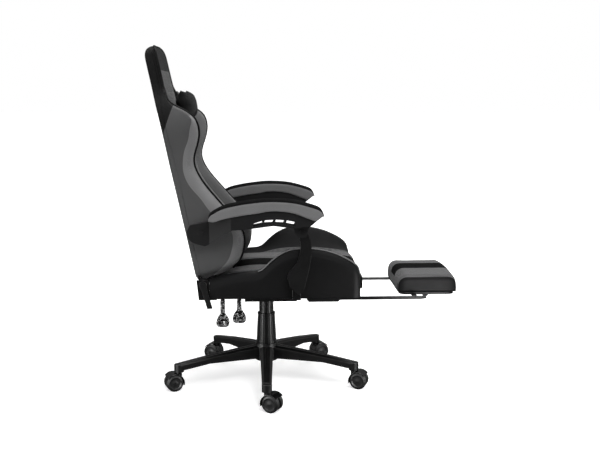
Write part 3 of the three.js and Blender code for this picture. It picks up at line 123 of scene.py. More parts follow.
# Arm pads
ARM_Y = 0.284
ARM_HALF = 0.037
ARM_REAR = -0.184
ARM_FRONT = 0.188
ARM_PEAK = 0.697
ARM_TIP = 0.640
ARM_THICK = 0.042
ARM_ROUND = 0.011

# Footrest pad
FOOT_REAR = 0.456
FOOT_FRONT = 0.657
FOOT_HALF = 0.147
FOOT_FLOOR = 0.3526
FOOT_TOP = 0.419
FOOT_STRIPE = 0.046
FOOT_ROUND = 0.018
FOOT_END_ROUND = 0.030

# Pillows: node, distance up and forward, half sizes, waist, fill
NECK_PILLOW = ("neck_pillow", 0.583, 0.0605, (0.125, 0.054, 0.027), 0.12, 0.7)
LUMBAR_PILLOW = ("lumbar_pillow", 0.130, 0.132, (0.112, 0.080, 0.0585), 0.04, 0.8)
PILLOW_PRESSURE = 4
PILLOW_CAP = 0.006
PILLOW_VOXEL = 0.0055
PILLOW_PIPE_RADIUS = 0.002
FOLD_PITCH = 0.009
FOLD_DRIFT = 0.023
FOLD_DEPTH = 0.0028

# Outlines as shares, the same as in the solid model
WIDTH_SHARES = [
    (0, 0.825), (0.012, 0.84), (0.03, 0.91), (0.1, 0.955), (0.18, 0.955), (0.3, 0.91),
    (0.42, 0.855), (0.5, 0.85), (0.57, 0.9), (0.63, 0.98), (0.67, 1), (0.71, 0.97),
    (0.75, 0.87), (0.79, 0.7), (0.83, 0.6), (0.88, 0.575), (0.94, 0.565), (0.975, 0.52),
    (0.99, 0.43), (1, 0.3),
]
NOSE_SHARES = [
    (0, 0.66), (0.037, 0.8), (0.087, 0.92), (0.147, 0.995), (0.198, 0.99), (0.274, 0.88),
    (0.352, 0.72), (0.442, 0.536), (0.519, 0.405), (0.592, 0.34), (0.642, 0.38), (0.705, 0.51),
    (0.771, 0.59), (0.832, 0.554), (0.882, 0.405), (0.916, 0.244), (0.947, 0.131), (1, 0.083),
]
WING_SEAM_SHARES = [
    (0, 0.2), (0.021, 0.34), (0.061, 0.56), (0.119, 0.7), (0.171, 0.77), (0.227, 0.76),
    (0.342, 0.435), (0.413, 0.32), (0.494, 0.146), (0.566, 0.092), (0.632, 0.136),
    (0.685, 0.218), (0.732, 0.343), (0.794, 0.438), (0.832, 0.52), (0.882, 0.36),
    (0.916, 0.2), (0.947, 0.1), (1, 0.05),
]
WING_WIDTH_SHARES = [(0, 0.47), (0.84, 0.47), (0.92, 0.42), (1, 0.3)]
INSET_SHARES = [(0, 1), (0.84, 1), (0.93, 0.68), (1, 0.1)]
FOOT_DROP_SHARES = [(0, 1), (0.2, 0.5), (0.5, 0.36), (0.8, 0.22), (1, 0)]
ROLL_SHARES = [(0.05, 0.22), (0.14, 0.5), (0.3, 0.76), (0.5, 0.9), (0.75, 0.975), (0.94, 1)]
PIPE_STOP = 3
SLOPE_SHARES = [(0.08, 0.985), (0.22, 0.93), (0.42, 0.75), (0.68, 0.4), (1, 0)]
BACK_PAD_SHARES = [
    (0, 0.75), (0.08, 1.25), (0.18, 1.61), (0.3, 1.35), (0.5, 0.95), (0.75, 0.74), (1, 0.72),
]
SEAT_SHARES = [
    (0, 0.74), (0.06, 0.79), (0.13, 0.86), (0.25, 0.95), (0.4, 0.97), (0.68, 1),
    (0.86, 1.02), (0.95, 0.93), (1, 0.8),
]
SEAM_SHARES = [
    (0, 0.325), (0.064, 0.376), (0.158, 0.454), (0.246, 0.488), (0.334, 0.525),
    (0.375, 0.63), (0.412, 0.75), (0.478, 0.9), (0.538, 0.975), (0.6, 1), (0.68, 1),
    (0.76, 0.96), (0.833, 0.89), (0.9, 0.79), (0.946, 0.7), (0.984, 0.58), (1, 0.42),
]
ARM_TOP_SHARES = [
    (0, 0.2), (0.024, 0.27), (0.121, 0.605), (0.272, 0.833), (0.38, 0.93), (0.488, 1),
    (0.618, 0.995), (0.747, 0.91), (0.877, 0.69), (0.954, 0.51), (0.985, 0.33), (1, 0.2),
]
ARM_THICK_SHARES = [
    (0, 0.58), (0.045, 0.83), (0.14, 0.98), (0.44, 1), (0.53, 0.9), (0.72, 0.94),
    (0.81, 1.06), (0.89, 1.12), (0.925, 1.14), (0.957, 0.82), (0.985, 0.4), (1, 0.25),
]

MILLIMETRE = 0.001

# How far in a second row of points keeps a flat underside's edge crisp
FLOOR_HOLD = 0.002

# Hairline left between two sewn pieces that touch
SEAM_GAP = 0.0003


# Small helpers

def along(stops, place):
    """Value on a smooth line through (place, value) stops."""
    last = len(stops) - 1
    if place <= stops[0][0]:
        return stops[0][1]
    if place >= stops[last][0]:
        return stops[last][1]
    i = next(k for k, stop in enumerate(stops) if stop[0] > place) - 1
    (x0, y0), (x1, y1) = stops[i], stops[i + 1]

    def slope(k):
        if k <= 0 or k >= last:
            return 0
        return (stops[k + 1][1] - stops[k - 1][1]) / (stops[k + 1][0] - stops[k - 1][0])

    step = x1 - x0
    u = (place - x0) / step
    rise = u * u * (3 - 2 * u)
    return (
        y0 + (y1 - y0) * rise
        + slope(i) * step * u * (1 - u) ** 2
        + slope(i + 1) * step * u * u * (u - 1)
    )


def round_drop(distance, radius):
    """How far a rounded edge has fallen at a distance in from it."""
    if distance >= radius:
        return 0
    left = radius - max(distance, 0)
    return radius - math.sqrt(radius * radius - left * left)


def mix(a, b, share):
    """The value a share of the way from a to b."""
    return a + (b - a) * share


def in_chair(x, y, z):
    """A point given in the chair's own frame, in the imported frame."""
    return Vector((x, y, z)) + origin


def in_back(s, y, t):
    """A point of the back, from its own height, width and forward reach."""
    c, n = math.cos(BACK_LEAN), math.sin(BACK_LEAN)
    return in_chair(RECLINE_X + t * c - s * n, y, RECLINE_Z + s * c + t * n)


def at_foot(s, y, t):
    """A point of the back, let down toward its foot, most of all behind."""
    drop = FOOT_DROP * along(FOOT_DROP_SHARES, t / FOOT_RUN)
    return in_back(s - drop * max(0, 1 - (s - BACK_BOTTOM) / FOOT_BLEND), y, t)


def stations(low, high, count):
    """Places closer together near both ends."""
    return [low + (high - low) * (1 - math.cos(math.pi * i / count)) / 2 for i in range(count + 1)]


def new_object(name, points, faces, materials, face_slots=None):
    mesh = bpy.data.meshes.new(name)
    mesh.from_pydata([tuple(p) for p in points], [], faces)
    for material in materials:
        mesh.materials.append(material)
    if face_slots is not None:
        mesh.polygons.foreach_set("material_index", face_slots)
    mesh.polygons.foreach_set("use_smooth", [True] * len(mesh.polygons))
    mesh.update()
    obj = bpy.data.objects.new(name, mesh)
    bpy.context.scene.collection.objects.link(obj)
    work = bmesh.new()
    work.from_mesh(mesh)
    bmesh.ops.recalc_face_normals(work, faces=work.faces)
    work.to_mesh(mesh)
    work.free()
    return obj


def loft(name, rings, materials, bands, cap_slots=(0, 0)):
    """Closed skin over rings; bands gives each column's material number."""
    count = len(rings[0])
    points = [p for ring in rings for p in ring]
    faces, slots = [], []
    for i in range(len(rings) - 1):
        for k in range(count):
            a, b = i * count + k, i * count + (k + 1) % count
            faces.append((a, b, b + count, a + count))
            slots.append(bands(i, k))
    for ring, slot in ((0, cap_slots[0]), (len(rings) - 1, cap_slots[1])):
        faces.append(tuple(range(ring * count, ring * count + count)))
        slots.append(slot)
    return new_object(name, points, faces, materials, slots)


def tube(name, path, radius, material, sides=10, closed=False):
    """Round cord along a path, with domed ends."""
    path = [Vector(p) for p in path]
    rings = []
    normal = None
    for i, place in enumerate(path):
        before = path[i - 1] if i or closed else path[0]
        after = path[(i + 1) % len(path)] if i + 1 < len(path) or closed else path[-1]
        tangent = (after - before).normalized()
        if normal is None:
            normal = tangent.orthogonal().normalized()
        normal = (normal - tangent * normal.dot(tangent)).normalized()
        side = tangent.cross(normal)
        rings.append([
            place + (normal * math.cos(a) + side * math.sin(a)) * radius
            for a in (2 * math.pi * k / sides for k in range(sides))
        ])
    points = [p for ring in rings for p in ring]
    faces = []
    count = len(rings)
    for i in range(count if closed else count - 1):
        for k in range(sides):
            a, b = i * sides + k, i * sides + (k + 1) % sides
            c, d = ((i + 1) % count) * sides + (k + 1) % sides, ((i + 1) % count) * sides + k
            faces.append((a, b, c, d))
    if not closed:
        faces.append(tuple(range(sides)))
        faces.append(tuple(range((count - 1) * sides, count * sides)))
    return new_object(name, points, faces, [material])


def apply_modifiers(obj):
    graph = bpy.context.evaluated_depsgraph_get()
    mesh = bpy.data.meshes.new_from_object(obj.evaluated_get(graph))
    old = obj.data
    obj.modifiers.clear()
    obj.data = mesh
    bpy.data.meshes.remove(old)


def subdivide(obj, levels=1):
    modifier = obj.modifiers.new("smooth", "SUBSURF")
    modifier.levels = modifier.render_levels = levels
    apply_modifiers(obj)
    return obj


def rumple(obj, height, size, seed):
    """Slight unevenness of stretched cloth over foam, along the normals."""
    for vertex in obj.data.vertices:
        place = vertex.co / size + Vector((seed, seed, seed))
        vertex.co += vertex.normal * noise.noise(place) * height
    obj.data.update()


def inflate(obj, pressure, cap, voxel, frames=20):
    """Cloth pressed out from inside, each point held to within cap of where it started."""
    remesh = obj.modifiers.new("remesh", "REMESH")
    remesh.mode = "VOXEL"
    remesh.voxel_size = voxel
    apply_modifiers(obj)
    start = np.array([v.co for v in obj.data.vertices])
    cloth = obj.modifiers.new("cloth", "CLOTH")
    cloth.settings.use_pressure = True
    cloth.settings.uniform_pressure_force = pressure
    cloth.settings.effector_weights.gravity = 0
    cloth.settings.quality = 5
    cloth.point_cache.frame_start = 1
    cloth.point_cache.frame_end = frames
    scene = bpy.context.scene
    for step in range(1, frames + 1):
        scene.frame_set(step)
    apply_modifiers(obj)
    scene.frame_set(1)
    moved = np.array([v.co for v in obj.data.vertices]) - start
    far = np.linalg.norm(moved, axis=1, keepdims=True)
    held = start + moved * np.minimum(1, cap / np.maximum(far, 1e-9))
    obj.data.vertices.foreach_set("co", held.ravel())
    obj.data.update()
    smooth = obj.modifiers.new("relax", "SMOOTH")
    smooth.factor = 0.5
    smooth.iterations = 6
    apply_modifiers(obj)
    obj.data.polygons.foreach_set("use_smooth", [True] * len(obj.data.polygons))
    return obj


def split_dark(obj, dark):
    """Cuts the back's skin along the slanting seam and blackens what is above it."""
    normal = in_back(1, 0, -DARK_SEAM_SLOPE) - in_back(0, 0, 0)
    place = in_back(DARK_SEAM_FOOT, 0, 0)
    work = bmesh.new()
    work.from_mesh(obj.data)
    parts = list(work.verts) + list(work.edges) + list(work.faces)
    bmesh.ops.bisect_plane(work, geom=parts, plane_co=place, plane_no=normal.normalized())
    for face in work.faces:
        if face.material_index == 0 and (face.calc_center_median() - place).dot(normal) > 0:
            face.material_index = dark
    work.to_mesh(obj.data)
    work.free()


def both_sides(make):
    """Makes a piece for the sitter's right and left."""
    return [make(hand, side) for hand, side in (("right", -1), ("left", 1))]


def finish_piece(obj, body, slot, *nodes, fill=None):
    """Says what carries a piece and hides the nodes that it stands for; the slot is not used."""
    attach(obj, body)
    if nodes:
        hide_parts(*nodes)
    return obj


# Materials

def shader(name, colour, roughness, **sockets):
    material = bpy.data.materials.new(name)
    material.use_nodes = True
    bsdf = material.node_tree.nodes["Principled BSDF"]
    bsdf.inputs["Base Color"].default_value = (*colour, 1)
    bsdf.inputs["Roughness"].default_value = roughness
    for socket, value in sockets.items():
        bsdf.inputs[socket.replace("_", " ")].default_value = value
    return material, material.node_tree, bsdf


def add_node(tree, kind, **settings):
    node = tree.nodes.new(kind)
    for name, value in settings.items():
        setattr(node, name, value)
    return node


def object_place(tree):
    return add_node(tree, "ShaderNodeTexCoord").outputs["Object"]


def weave_height(tree, pitch):
    """Woven knots at a pitch, the same on faces of any direction."""
    scale = add_node(tree, "ShaderNodeVectorMath", operation="SCALE")
    scale.inputs["Scale"].default_value = 2 * math.pi / pitch
    tree.links.new(object_place(tree), scale.inputs[0])
    sines = add_node(tree, "ShaderNodeVectorMath", operation="SINE")
    tree.links.new(scale.outputs[0], sines.inputs[0])
    split = add_node(tree, "ShaderNodeSeparateXYZ")
    tree.links.new(scale.outputs[0], split.inputs[0])
    turned = add_node(tree, "ShaderNodeCombineXYZ")
    for source, target in (("Y", "X"), ("Z", "Y"), ("X", "Z")):
        tree.links.new(split.outputs[source], turned.inputs[target])
    cosines = add_node(tree, "ShaderNodeVectorMath", operation="COSINE")
    tree.links.new(turned.outputs[0], cosines.inputs[0])
    product = add_node(tree, "ShaderNodeVectorMath", operation="DOT_PRODUCT")
    tree.links.new(sines.outputs[0], product.inputs[0])
    tree.links.new(cosines.outputs[0], product.inputs[1])
    return product.outputs["Value"]


def blotches(tree, scale, detail=3):
    node = add_node(tree, "ShaderNodeTexNoise")
    node.inputs["Scale"].default_value = scale
    node.inputs["Detail"].default_value = detail
    tree.links.new(object_place(tree), node.inputs["Vector"])
    return node.outputs["Fac"]


def ramp(tree, source, low, high, colour_low, colour_high):
    node = add_node(tree, "ShaderNodeMapRange")
    node.inputs["From Min"].default_value = low
    node.inputs["From Max"].default_value = high
    tree.links.new(source, node.inputs["Value"])
    blend = add_node(tree, "ShaderNodeMix", data_type="RGBA")
    blend.inputs[6].default_value = (*colour_low, 1)
    blend.inputs[7].default_value = (*colour_high, 1)
    tree.links.new(node.outputs["Result"], blend.inputs[0])
    return blend.outputs[2]


def bump(tree, bsdf, height, strength, distance):
    node = add_node(tree, "ShaderNodeBump")
    node.inputs["Strength"].default_value = strength
    node.inputs["Distance"].default_value = distance
    tree.links.new(height, node.inputs["Height"])
    tree.links.new(node.outputs["Normal"], bsdf.inputs["Normal"])
    return node


def cloth(name, grey, pitch=0.0022, contrast=0.22, sheen=0.1, roughness=0.9, gleam=0.15):
    """Woven cloth: knots in bump and colour, with slight blotches."""
    material, tree, bsdf = shader(
        name, (grey, grey, grey * 1.01), roughness, Sheen_Weight=sheen, Sheen_Roughness=0.4,
        Specular_IOR_Level=gleam,
    )
    knots = weave_height(tree, pitch)
    dark = tuple(c * (1 - contrast) for c in (grey, grey, grey * 1.01))
    light = tuple(c * (1 + contrast) for c in (grey, grey, grey * 1.01))
    woven = ramp(tree, knots, -1.2, 1.2, dark, light)
    worn = ramp(tree, blotches(tree, 9), 0.3, 0.7, (0.9, 0.9, 0.9), (1.06, 1.06, 1.06))
    both = add_node(tree, "ShaderNodeMix", data_type="RGBA", blend_type="MULTIPLY")
    both.inputs[0].default_value = 1
    tree.links.new(woven, both.inputs[6])
    tree.links.new(worn, both.inputs[7])
    tree.links.new(both.outputs[2], bsdf.inputs["Base Color"])
    bump(tree, bsdf, knots, 0.35, 0.0004)
    return material


def plastic(name, grey, roughness, grain=0.0, edge=0.0, gleam=0.3, ripple=0.0):
    """Moulded plastic or paint, with a fine grain and slight patches in its gloss."""
    material, tree, bsdf = shader(
        name, (grey, grey, grey * 1.04), roughness, Specular_IOR_Level=gleam,
    )
    patches = add_node(tree, "ShaderNodeMapRange")
    patches.inputs["To Min"].default_value = roughness * 0.85
    patches.inputs["To Max"].default_value = roughness * 1.2
    tree.links.new(blotches(tree, 22), patches.inputs["Value"])
    tree.links.new(patches.outputs["Result"], bsdf.inputs["Roughness"])
    if edge:
        rounded = add_node(tree, "ShaderNodeBevel", samples=6)
        rounded.inputs["Radius"].default_value = edge
    if grain:
        node = bump(tree, bsdf, blotches(tree, 900, 2), grain, 0.0004)
        if edge:
            tree.links.new(rounded.outputs["Normal"], node.inputs["Normal"])
    elif edge:
        tree.links.new(rounded.outputs["Normal"], bsdf.inputs["Normal"])
    if ripple:
        wave = bump(tree, bsdf, blotches(tree, 75, 1), ripple, 0.02)
        tree.links.new(rounded.outputs["Normal"], wave.inputs["Normal"])
    return material


def metal(name, grey, roughness):
    """Bare steel with a faint drawn grain."""
    material, tree, bsdf = shader(name, (grey, grey, grey), roughness, Metallic=1.0)
    stretch = add_node(tree, "ShaderNodeMapping")
    stretch.inputs["Scale"].default_value = (40, 40, 900)
    tree.links.new(object_place(tree), stretch.inputs["Vector"])
    lines = add_node(tree, "ShaderNodeTexNoise")
    lines.inputs["Scale"].default_value = 3
    tree.links.new(stretch.outputs["Vector"], lines.inputs["Vector"])
    bump(tree, bsdf, lines.outputs["Fac"], 0.08, 0.0003)
    return material


side_cloth = cloth("side_cloth", 0.060)
# Lighter grey for the wing's rounded band: a painted highlight on the same side fabric where it
# turns toward the light
band_painted_highlight_cloth = cloth("band_painted_highlight_cloth", 0.136, sheen=0.15)
# Strip cloth: the same grey fabric as the head panel, made lighter as painted light for the wing's
# forward strip, which the lamps reach less
strip_painted_light_cloth = cloth("strip_painted_light_cloth", 0.085)
# Head cloth: that same grey fabric made darker, as painted shade for the head panel, which faces
# the key lamp
head_painted_shade_cloth = cloth("head_painted_shade_cloth", 0.026)
centre_cloth = cloth("centre_cloth", 0.075, pitch=0.003, contrast=0.35)
arm_cloth = cloth("arm_cloth", 0.125, sheen=0.15)
pillow_cloth = cloth("pillow_cloth", 0.007, contrast=0.3, sheen=0.03, gleam=0.06)
lumbar_cloth = cloth("lumbar_cloth", 0.030, contrast=0.3, sheen=0.06, gleam=0.08)
black_cloth = cloth("black_cloth", 0.008, contrast=0.3, sheen=0.03, gleam=0.06)
# Stripe cloth: a darker, less shiny copy of the black cloth; the stripes are black, and the extra
# darkness is painted shade for the seat stripe's up-facing top under the top lamp
stripe_painted_shade_cloth = cloth("stripe_painted_shade_cloth", 0.003, contrast=0.3, sheen=0, gleam=0.03)
black_leather = plastic("black_leather", 0.005, 0.5, grain=0.25, gleam=0.06)
piping_black = plastic("piping_black", 0.002, 0.5, grain=0.1, gleam=0.08)
piping_grey = cloth("piping_grey", 0.15, pitch=0.0012)
nylon = plastic("nylon", 0.004, 0.3, grain=0.12, edge=0.0025, gleam=0.3)
gloss = plastic("gloss", 0.003, 0.12, edge=0.002, gleam=0.5)
rippled = plastic("rippled", 0.004, 0.1, edge=0.002, gleam=0.6, ripple=1.0)
satin = plastic("satin", 0.003, 0.15, edge=0.0015, gleam=0.4)
matte = plastic("matte", 0.003, 0.45, grain=0.2, edge=0.0018, gleam=0.12)
arm_plastic = plastic("arm_plastic", 0.008, 0.45, grain=0.2, edge=0.0018, gleam=0.1)
paint = plastic("paint", 0.004, 0.22, grain=0.05, edge=0.001, gleam=0.3)
rubber = plastic("rubber", 0.005, 0.42, grain=0.1, edge=0.0015, gleam=0.3)
board = plastic("board", 0.008, 0.6, grain=0.3, gleam=0.1)
steel = metal("steel", 0.6, 0.28)

NODE_FINISHES = {
    nylon: ["star_base"],
    gloss: [f"caster_{i}_hood" for i in range(1, 6)],
    rippled: ["height_lever_paddle", "tilt_lever_paddle"],
    satin: ["base_dust_cover", "lift_dust_cover"],
    matte: [
        "recline_lever", "armrest_post_right", "armrest_post_left", "footrest_guide_right",
        "footrest_guide_left", "footrest_board", "armrest_pin_right", "armrest_pin_left",
    ],
    arm_plastic: ["armrest_support_right", "armrest_support_left"],
    paint: [
        "gas_lift_tube", "mechanism_box", "seat_plate", "height_lever_rod", "tilt_lever_rod",
        "recliner_plate_right", "recliner_plate_left", "recliner_arm_right", "recliner_arm_left",
        "armrest_mount_right", "armrest_mount_left", "footrest_rail",
    ],
    rubber: [f"caster_{i}_wheel_{w}" for i in range(1, 6) for w in ("inner", "outer")],
    board: ["seat_pan"],
    steel: ["gas_lift_piston", "tilt_pin", "tilt_spring"],
}


def dress_nodes():
    """Gives the CAD solids that stay in view their materials."""
    for material, names in NODE_FINISHES.items():
        for name in names:
            mesh = frame["nodes"][name].data
            mesh.materials.clear()
            mesh.materials.append(material)


# Back

back_length = BACK_TOP - BACK_BOTTOM
wing_length = NECK_LEVEL - BACK_BOTTOM


def back_half(s):
    return BACK_HALF * along(WIDTH_SHARES, (s - BACK_BOTTOM) / back_length)


def up_wing(shares, size, s):
    return size * along(shares, (s - BACK_BOTTOM) / wing_length)


def wing_inner(s):
    return back_half(s) - up_wing(WING_WIDTH_SHARES, BACK_HALF, s)


SIDE, BAND, STRIP, DARK = range(4)
PIPE_COLUMN = 7 + PIPE_STOP


def wing_columns(s):
    """(forward reach, width, material of the strip after it) round the wing at one height."""
    outer, inner = back_half(s), wing_inner(s)
    crest = outer - up_wing(INSET_SHARES, CREST_INSET, s)
    nose = max(up_wing(NOSE_SHARES, WING_DEPTH, s), 0.22 * PAD_FORWARD)
    seam = up_wing(WING_SEAM_SHARES, WING_DEPTH, s)
    floor = SHELL_FRONT + 0.3 * MILLIMETRE
    centre = min(0.75 * PAD_FORWARD, (nose + floor) / 2)
    # Below BAND_TOP the roll takes the lighter band cloth, which is its painted highlight
    roll = BAND if s < BAND_TOP else SIDE
    mm = MILLIMETRE
    columns = [
        (floor, inner, SIDE),
        (floor, outer - 1.5 * mm, SIDE),
        (floor, outer - 0.2 * mm, SIDE),
        (floor + 1 * mm, outer - 0.2 * mm, SIDE),
        (mix(floor, seam, 0.5), outer - 0.5 * mm, SIDE),
        (mix(floor, seam, 0.92), outer - 1.5 * mm, SIDE),
        (seam, outer - 3 * mm, roll),
    ]
    columns += [
        (mix(seam, nose, b), mix(outer, crest, a), roll if i < PIPE_STOP else STRIP)
        for i, (a, b) in enumerate(ROLL_SHARES)
    ]
    columns.append((nose - 1 * mm, crest, STRIP))
    columns += [(mix(centre, nose, b), mix(crest, inner, a), STRIP) for a, b in SLOPE_SHARES]
    return columns


def head_fall(s):
    """How far the front of the head has rounded back toward its top."""
    return round_drop(BACK_TOP - s, HEAD_ROUND) * HEAD_ROUND_SHARE


def wing_levels():
    return stations(BACK_BOTTOM, NECK_LEVEL - 0.3 * MILLIMETRE, 56)


def back_wing(hand, side):
    levels = wing_levels()
    columns = [wing_columns(s) for s in levels]
    rings = [
        [at_foot(s, side * y, t) for t, y, _ in column] for s, column in zip(levels, columns)
    ]
    wing = loft(
        f"wing_cover_{hand}", rings,
        [side_cloth, band_painted_highlight_cloth, strip_painted_light_cloth, black_cloth],
        lambda i, k: columns[i][k][2], (SIDE, DARK),
    )
    subdivide(wing)
    rumple(wing, 1.2 * MILLIMETRE, 0.09, 3)
    split_dark(wing, DARK)
    finish_piece(wing, "back", "grey_mesh", f"back_wing_{hand}", fill=0.7)
    path = [
        at_foot(s, side * y, t + PIPE_RADIUS / 2)
        for s, column in zip(levels, columns) for t, y, _ in [column[PIPE_COLUMN]]
    ]
    path += [
        in_back(s, side * (back_half(s) - 1.2 * MILLIMETRE), HEAD_PIPE_FORWARD - head_fall(s))
        for s in np.linspace(NECK_LEVEL + 0.02, BACK_TOP - 1 * MILLIMETRE, 24)
    ]
    path.append(in_back(BACK_TOP, 0, HEAD_PIPE_FORWARD - head_fall(BACK_TOP)))
    cord = tube(f"wing_piping_{hand}", path, PIPE_RADIUS, piping_black)
    finish_piece(cord, "back", "black_cloth")
    return wing


def shell_rear(y):
    """Reach of the rear cover, which is crowned across its width."""
    return SHELL_REAR + SHELL_CROWN * (y / BACK_HALF) ** 2


def back_shell():
    """Rear of the back: a crowned padded cover in dark cloth, black round the head."""
    levels = [
        BACK_BOTTOM + back_length * math.sin(math.pi / 2 * i / 60) for i in range(61)
    ]
    sides = 24
    rings = []
    for s in levels:
        half = back_half(s) - 0.2 * MILLIMETRE
        fall = round_drop(BACK_TOP - s, SHELL_ROUND) * 0.6
        ring = [
            at_foot(s, half, SHELL_FRONT - MILLIMETRE), at_foot(s, half, SHELL_FRONT),
            at_foot(s, half - 2 * MILLIMETRE, SHELL_FRONT),
            at_foot(s, 2 * MILLIMETRE - half, SHELL_FRONT),
            at_foot(s, -half, SHELL_FRONT), at_foot(s, -half, SHELL_FRONT - MILLIMETRE),
        ]
        for k in range(sides + 1):
            share = math.sin(math.pi / 2 * (k * 2 / sides - 1))
            y = half * share
            edge = 3 * MILLIMETRE * max(0, abs(share) - 0.97) / 0.03
            ring.append(at_foot(s, y, shell_rear(y) + fall + edge))
        rings.append(ring)
    shell = loft("back_rear_cover", rings, [side_cloth, black_cloth], lambda i, k: 0, (0, 1))
    subdivide(shell)
    rumple(shell, 1.0 * MILLIMETRE, 0.12, 5)
    split_dark(shell, 1)
    finish_piece(shell, "back", "black_cloth", "back_shell", fill=0.5)


def back_hem():
    """Black strip that closes the cover under the foot of the back."""
    widths = [-HEM_HALF, 2 * MILLIMETRE - HEM_HALF, HEM_HALF - 2 * MILLIMETRE, HEM_HALF]
    rings = [[in_back(s, y, t) for s, t in HEM_SECTION] for y in widths]
    hem = loft("back_hem", rings, [black_cloth], lambda i, k: 0)
    finish_piece(hem, "back", "black_cloth")


def pad_rings(levels, across, half, low, high, edge, end_edge, place, drawn):
    """Rings of a padded block: flat underside, crowned top, rounded edges."""
    rings = []
    for a in levels:
        inset = min(a - levels[0], levels[-1] - a)
        fall = round_drop(inset, end_edge)
        w = half(a) - fall * 0.35
        floor = low(a)
        ring = []
        for k in range(across + 1):
            y = w * math.cos(math.pi * k / across)
            height = high(a, y) - round_drop(w - abs(y), edge) - fall
            ring.append(place(a, y, max(height, floor + MILLIMETRE)))
        waist = max((high(a, w) - edge - fall + floor) / 2, floor + MILLIMETRE / 2)
        foot = w - drawn / 2
        ring += [
            place(a, -w + drawn, waist), place(a, -foot, floor), place(a, FLOOR_HOLD - foot, floor),
            place(a, foot - FLOOR_HOLD, floor), place(a, foot, floor), place(a, w - drawn, waist),
        ]
        rings.append(ring)
    return rings


def channel(y, centre, depth, width):
    """Depth of the sewn groove on each side of a stripe."""
    off = (abs(y) - centre) / width
    return depth * math.exp(-off * off)


def back_pad():
    stops = [(a * wing_length, b * PAD_FORWARD) for a, b in BACK_PAD_SHARES]
    levels = stations(BACK_BOTTOM, NECK_LEVEL - MILLIMETRE, 60)
    across = 48

    def high(s, y):
        return along(stops, s - BACK_BOTTOM) - channel(y, BACK_STRIPE, 0.005, 0.007)

    rings = pad_rings(
        levels, across, lambda s: wing_inner(s) - BACK_PAD_GAP, lambda s: SHELL_FRONT + SEAM_GAP,
        high, BACK_PAD_CROWN, BACK_PAD_CROWN, in_back, SEAM_GAP,
    )

    def band(i, k):
        y = (wing_inner(levels[i]) - BACK_PAD_GAP) * math.cos(math.pi * (k + 0.5) / across)
        return 1 if k < across and abs(y) < BACK_STRIPE else 0

    pad = loft("back_centre_pad", rings, [centre_cloth, stripe_painted_shade_cloth], band)
    subdivide(pad)
    rumple(pad, 1.5 * MILLIMETRE, 0.06, 9)
    finish_piece(pad, "back", "grey_mesh", "back_cushion", fill=0.7)


def head_pad():
    levels = [
        HEAD_FOOT + (BACK_TOP - HEAD_FOOT) * math.sin(math.pi / 2 * i / 40) for i in range(41)
    ]
    across = 40

    def high(s, y):
        return HEAD_FRONT + HEAD_BOW * (y / BACK_HALF) ** 2 - head_fall(s)

    rings = pad_rings(
        levels, across, lambda s: back_half(s) - 0.4 * MILLIMETRE,
        lambda s: SHELL_FRONT + SEAM_GAP, high, SEAT_CROWN, SEAT_CROWN / 2, in_back, SEAM_GAP,
    )

    def band(i, k):
        return 1 if levels[i] < HEAD_SEAM and 1 <= k < across - 1 else 0

    # The grey panel below the head seam takes the darker copy of the grey fabric, as painted shade
    pad = loft("head_front_pad", rings, [black_cloth, head_painted_shade_cloth], band)
    subdivide(pad)
    rumple(pad, 1.0 * MILLIMETRE, 0.07, 11)
    finish_piece(pad, "back", "black_cloth", "head_cushion", fill=0.6)


# Pillows

def pillow(name, material, node, s, t, half, waist, fill):
    """Pinched at its corners, blown up as cloth, with a sewn edge round it."""
    half_width, half_height, half_depth = half
    steps, sides = 36, 36
    rings, edge = [], []
    for i in range(steps + 1):
        v = -math.cos(math.pi * i / steps)
        swell = max(1 - v ** 6, 0.3)
        tall = half_height * (1 - waist * (1 - v * v)) * (1 - 0.04 * v ** 8)
        deep = half_depth * math.sqrt(swell) * 0.9
        ring = []
        for k in range(sides):
            angle = 2 * math.pi * k / sides
            up = math.copysign(abs(math.cos(angle)) ** 0.8, math.cos(angle))
            out = math.copysign(abs(math.sin(angle)) ** 0.9, math.sin(angle))
            ring.append(in_back(s + tall * up, half_width * v, t + deep * out))
        rings.append(ring)
        edge.insert(0, in_back(s - tall, half_width * v, t))
        edge.append(in_back(s + tall, half_width * v, t))
    cushion = loft(name, rings, [material], lambda i, k: 0)
    inflate(cushion, PILLOW_PRESSURE, PILLOW_CAP, PILLOW_VOXEL)
    subdivide(cushion)
    gather(cushion, s, t, half)
    finish_piece(cushion, "back", "black_cloth", node, fill=fill)
    seam = [cushion.closest_point_on_mesh(place)[1] for place in edge]
    cord = tube(f"{name}_piping", seam, PILLOW_PIPE_RADIUS, piping_black, closed=True)
    finish_piece(cord, "back", "black_cloth")


def gather(cushion, s, t, half):
    """Small folds that run in from the sewn ends."""
    for vertex in cushion.data.vertices:
        local = vertex.co - in_back(s, 0, t)
        end = min(abs(local.y) / half[0], 1)
        fold = math.sin(local.z / FOLD_PITCH) * math.sin(local.z / FOLD_DRIFT + 1)
        vertex.co += vertex.normal * fold * FOLD_DEPTH * max(end - 0.5, 0) / 0.5
    cushion.data.update()


# Seat

seat_length = SEAT_FRONT - SEAT_REAR
side_length = SIDE_FRONT - SIDE_REAR


def smooth_share(share):
    """Eases from 0 to 1 as a share does."""
    share = min(max(share, 0), 1)
    return share * share * (3 - 2 * share)


